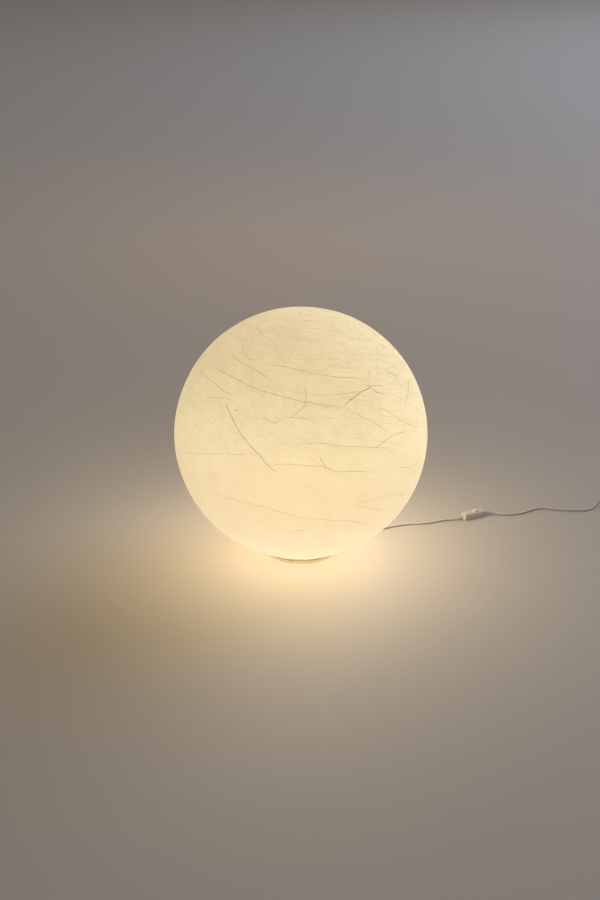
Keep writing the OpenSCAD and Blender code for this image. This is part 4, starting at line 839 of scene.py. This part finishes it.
# %% [markdown]
# The bulb's globe is opal glass or polycarbonate: milky, and evenly bright when the lamp is on,
# a little dimmer towards the neck where the housing shades it.

# %% Opal bulb
HAZE = 0.03
BULB_GLOW = (0.62, 0.50, 0.30)
NECK_TO_TOP = (0.165, 0.215, 0.55, 1.0)

opal, tree, shader, place = new_material("opal_bulb", Roughness=0.28, IOR=1.5)
haze = add_node(tree, "TexNoise", {}, {"Scale": 1 / HAZE, "Detail": 2.0}, {"Vector": place})
tones = {6: linear("#eee6d6"), 7: linear("#f5efe2")}
milk = add_node(tree, "Mix", {"data_type": "RGBA"}, tones, {0: haze.outputs[0]})
tree.links.new(milk.outputs[2], shader.inputs["Base Color"])
height = add_node(tree, "SeparateXYZ", {}, {}, {0: place}).outputs[2]
rise = add_node(tree, "MapRange", {}, dict(zip(MAP, NECK_TO_TOP)), {"Value": height})
glow = add_node(tree, "VectorMath", {"operation": "SCALE"}, {0: BULB_GLOW}, {"Scale": rise.outputs[0]})
tree.links.new(glow.outputs[0], shader.inputs["Emission Color"])
shader.inputs["Emission Strength"].default_value = 1.0
FINISHES["opal_glass"] = opal
print("opal bulb nodes:", len(tree.nodes))

# %% Dress the nodes
slots = {part["node"]: part["material_slot"] for part in frame["record"]["subparts"]}
LEAD_SLOT, STRAP_SLOT = slots["strain_relief"], "black_rubber"
for name, piece in nodes.items():
    for slot in piece.material_slots:
        slot.material = FINISHES[slots[name]]
for piece in (lead_1, lead_2):
    piece.data.materials.append(FINISHES[LEAD_SLOT])
for piece in straps:
    piece.data.materials.append(FINISHES[STRAP_SLOT])
print("nodes dressed:", len(nodes))

# %% [markdown]
# ## What rides on what
# The paper and its fibres lift with the collar. Both leads stay with the base.

# %% Ride and replace
SWITCH_NODES = ["switch_base", "switch_cover", "switch_rocker", "contact_plunger", "plunger_spring",
                "contact_bar", "fixed_contacts", "switch_terminal_screws", "switch_cores",
                "switch_screws"]  # fmt: skip
PLUG_NODES = ["plug_body", "plug_boot", "pin_sleeves", "plug_pins"]

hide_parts(*PAPER_NODES)
for piece in (paper, bark_strands, bark_back, hairs):
    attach(piece, "diffuser")
for piece in (lead_1, lead_2):
    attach(piece, "base")
for piece in straps:
    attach(piece, "base")
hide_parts("lead_to_switch")
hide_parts("lead_to_coil", "lead_coil", "lead_to_plug")
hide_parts("coil_ties")
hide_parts("coil_ties")
run_length(first_run)  # fmt: skip
run_length(second_run)  # fmt: skip

# %% [markdown]
# ## Floor and light
# The lamp stands on a plain pale floor that fills the picture. The room is dim: an even warm
# sky, one large cool panel high behind on the right, as from a window, and a weak one in front.
# That is why the left of the photograph is warmer and darker than its right.

# %% Floor
FLOOR_HALF, FLOOR_Z = 20, -0.0003

corners = np.array([[-1, -1, 0], [1, -1, 0], [1, 1, 0], [-1, 1, 0]]) * FLOOR_HALF + [0, 0, FLOOR_Z]
floor = put_mesh("floor", corners, [[0, 1, 2, 3]], smooth=False)
floor_material, tree, shader, place = new_material("pale_floor", Roughness=0.75)
shader.inputs["Base Color"].default_value = linear("#918c86")
floor.data.materials.append(floor_material)
print("floor", 2 * FLOOR_HALF, "m wide")

# %% Sky
SKY, SEEN = 0.31, 0.27

world = bpy.data.worlds.new("soft_room")
bpy.context.scene.world = world
world.use_nodes = True
sky = world.node_tree.nodes["Background"]
sky.inputs["Color"].default_value = linear("#ffedd4")
seen = add_node(world.node_tree, "LightPath").outputs["Is Camera Ray"]
strength = add_node(world.node_tree, "MapRange", {}, {"To Min": SKY, "To Max": SEEN}, {"Value": seen})
world.node_tree.links.new(strength.outputs[0], sky.inputs["Strength"])
print("sky", SKY, "seen by the camera as", SEEN)


# %% Room lights
def area_light(name, place, aim, size, power, hex_colour):
    """A square soft light at place that shines towards aim."""
    data = bpy.data.lights.new(name, "AREA")
    data.size, data.energy, data.color = size, power, linear(hex_colour)[:3]
    light = bpy.data.objects.new(name, data)
    back = np.array(place, float) - np.array(aim, float)
    back /= np.linalg.norm(back)
    right = np.cross([0, 0, 1], back)
    right /= np.linalg.norm(right)
    turn = np.stack([right, np.cross(back, right), back], 1)
    light.matrix_world = Matrix.Translation(place) @ Matrix(turn.tolist()).to_4x4()
    bpy.context.scene.collection.objects.link(light)
    return light


window = area_light("window_light", (8.0, 8.0, 6.0), (0, 6.0, 0), 10.0, 1350, "#d0e1ff")
room = area_light("room_light", (0.5, -6.0, 2.0), (0, 0, 0.2), 4.0, 95, "#faf0e6")
print("panels:", window.data.energy, "W behind and", room.data.energy, "W in front")

# %% [markdown]
# The lamp's own light on the floor is what an evenly glowing ball gives, and a round light at
# its centre gives the same pattern. The ball, its fibres and the base let it through, so only
# the switch and the lead throw a shadow in it, and the base's pieces, which the ball's lowest
# part shades, don't receive it. A weaker light at the same place reaches every piece. A third,
# behind the lamp, stands for its light thrown back by the room.


# %% Lamp lights
def lamp_glow(name, place, power, colour, radius=0.05, unlit=(), clear=()):
    """A round light. The pieces in unlit don't receive it, and those in clear throw no shadow
    in it. Without any of these it throws none at all."""
    data = bpy.data.lights.new(name, "POINT")
    data.energy = power
    data.color = colour
    data.shadow_soft_size = radius
    data.use_shadow = bool(clear)
    light = bpy.data.objects.new(name, data)
    light.location = place
    bpy.context.scene.collection.objects.link(light)
    for role, pieces in (("receiver", unlit), ("blocker", clear)):
        if pieces:
            group = bpy.data.collections.new(f"{name}_{role}s")
            for piece in pieces:
                group.objects.link(piece)
            for member in group.collection_objects:
                member.light_linking.link_state = "EXCLUDE"
            setattr(light.light_linking, role + "_collection", group)
    return light


centre = tuple(GLOBE_C.tolist())
under_ball = [nodes[name] for name in ("base_pan", "collar_ring", "bottom_cover")]
in_lamp = [piece for name, piece in nodes.items() if name not in SWITCH_NODES + PLUG_NODES]
in_lamp += [paper, bark_strands, bark_back, hairs]
lamp_glow("glow_through_paper", centre, 17.0, (1.0, 0.80, 0.50), 0.25, under_ball, in_lamp)
lamp_glow("glow_everywhere", centre, 3.0, (1.0, 0.76, 0.44))
lamp_glow("glow_back_from_room", (0.0, 3.0, 2.0), 50.0, (1.0, 0.62, 0.22))
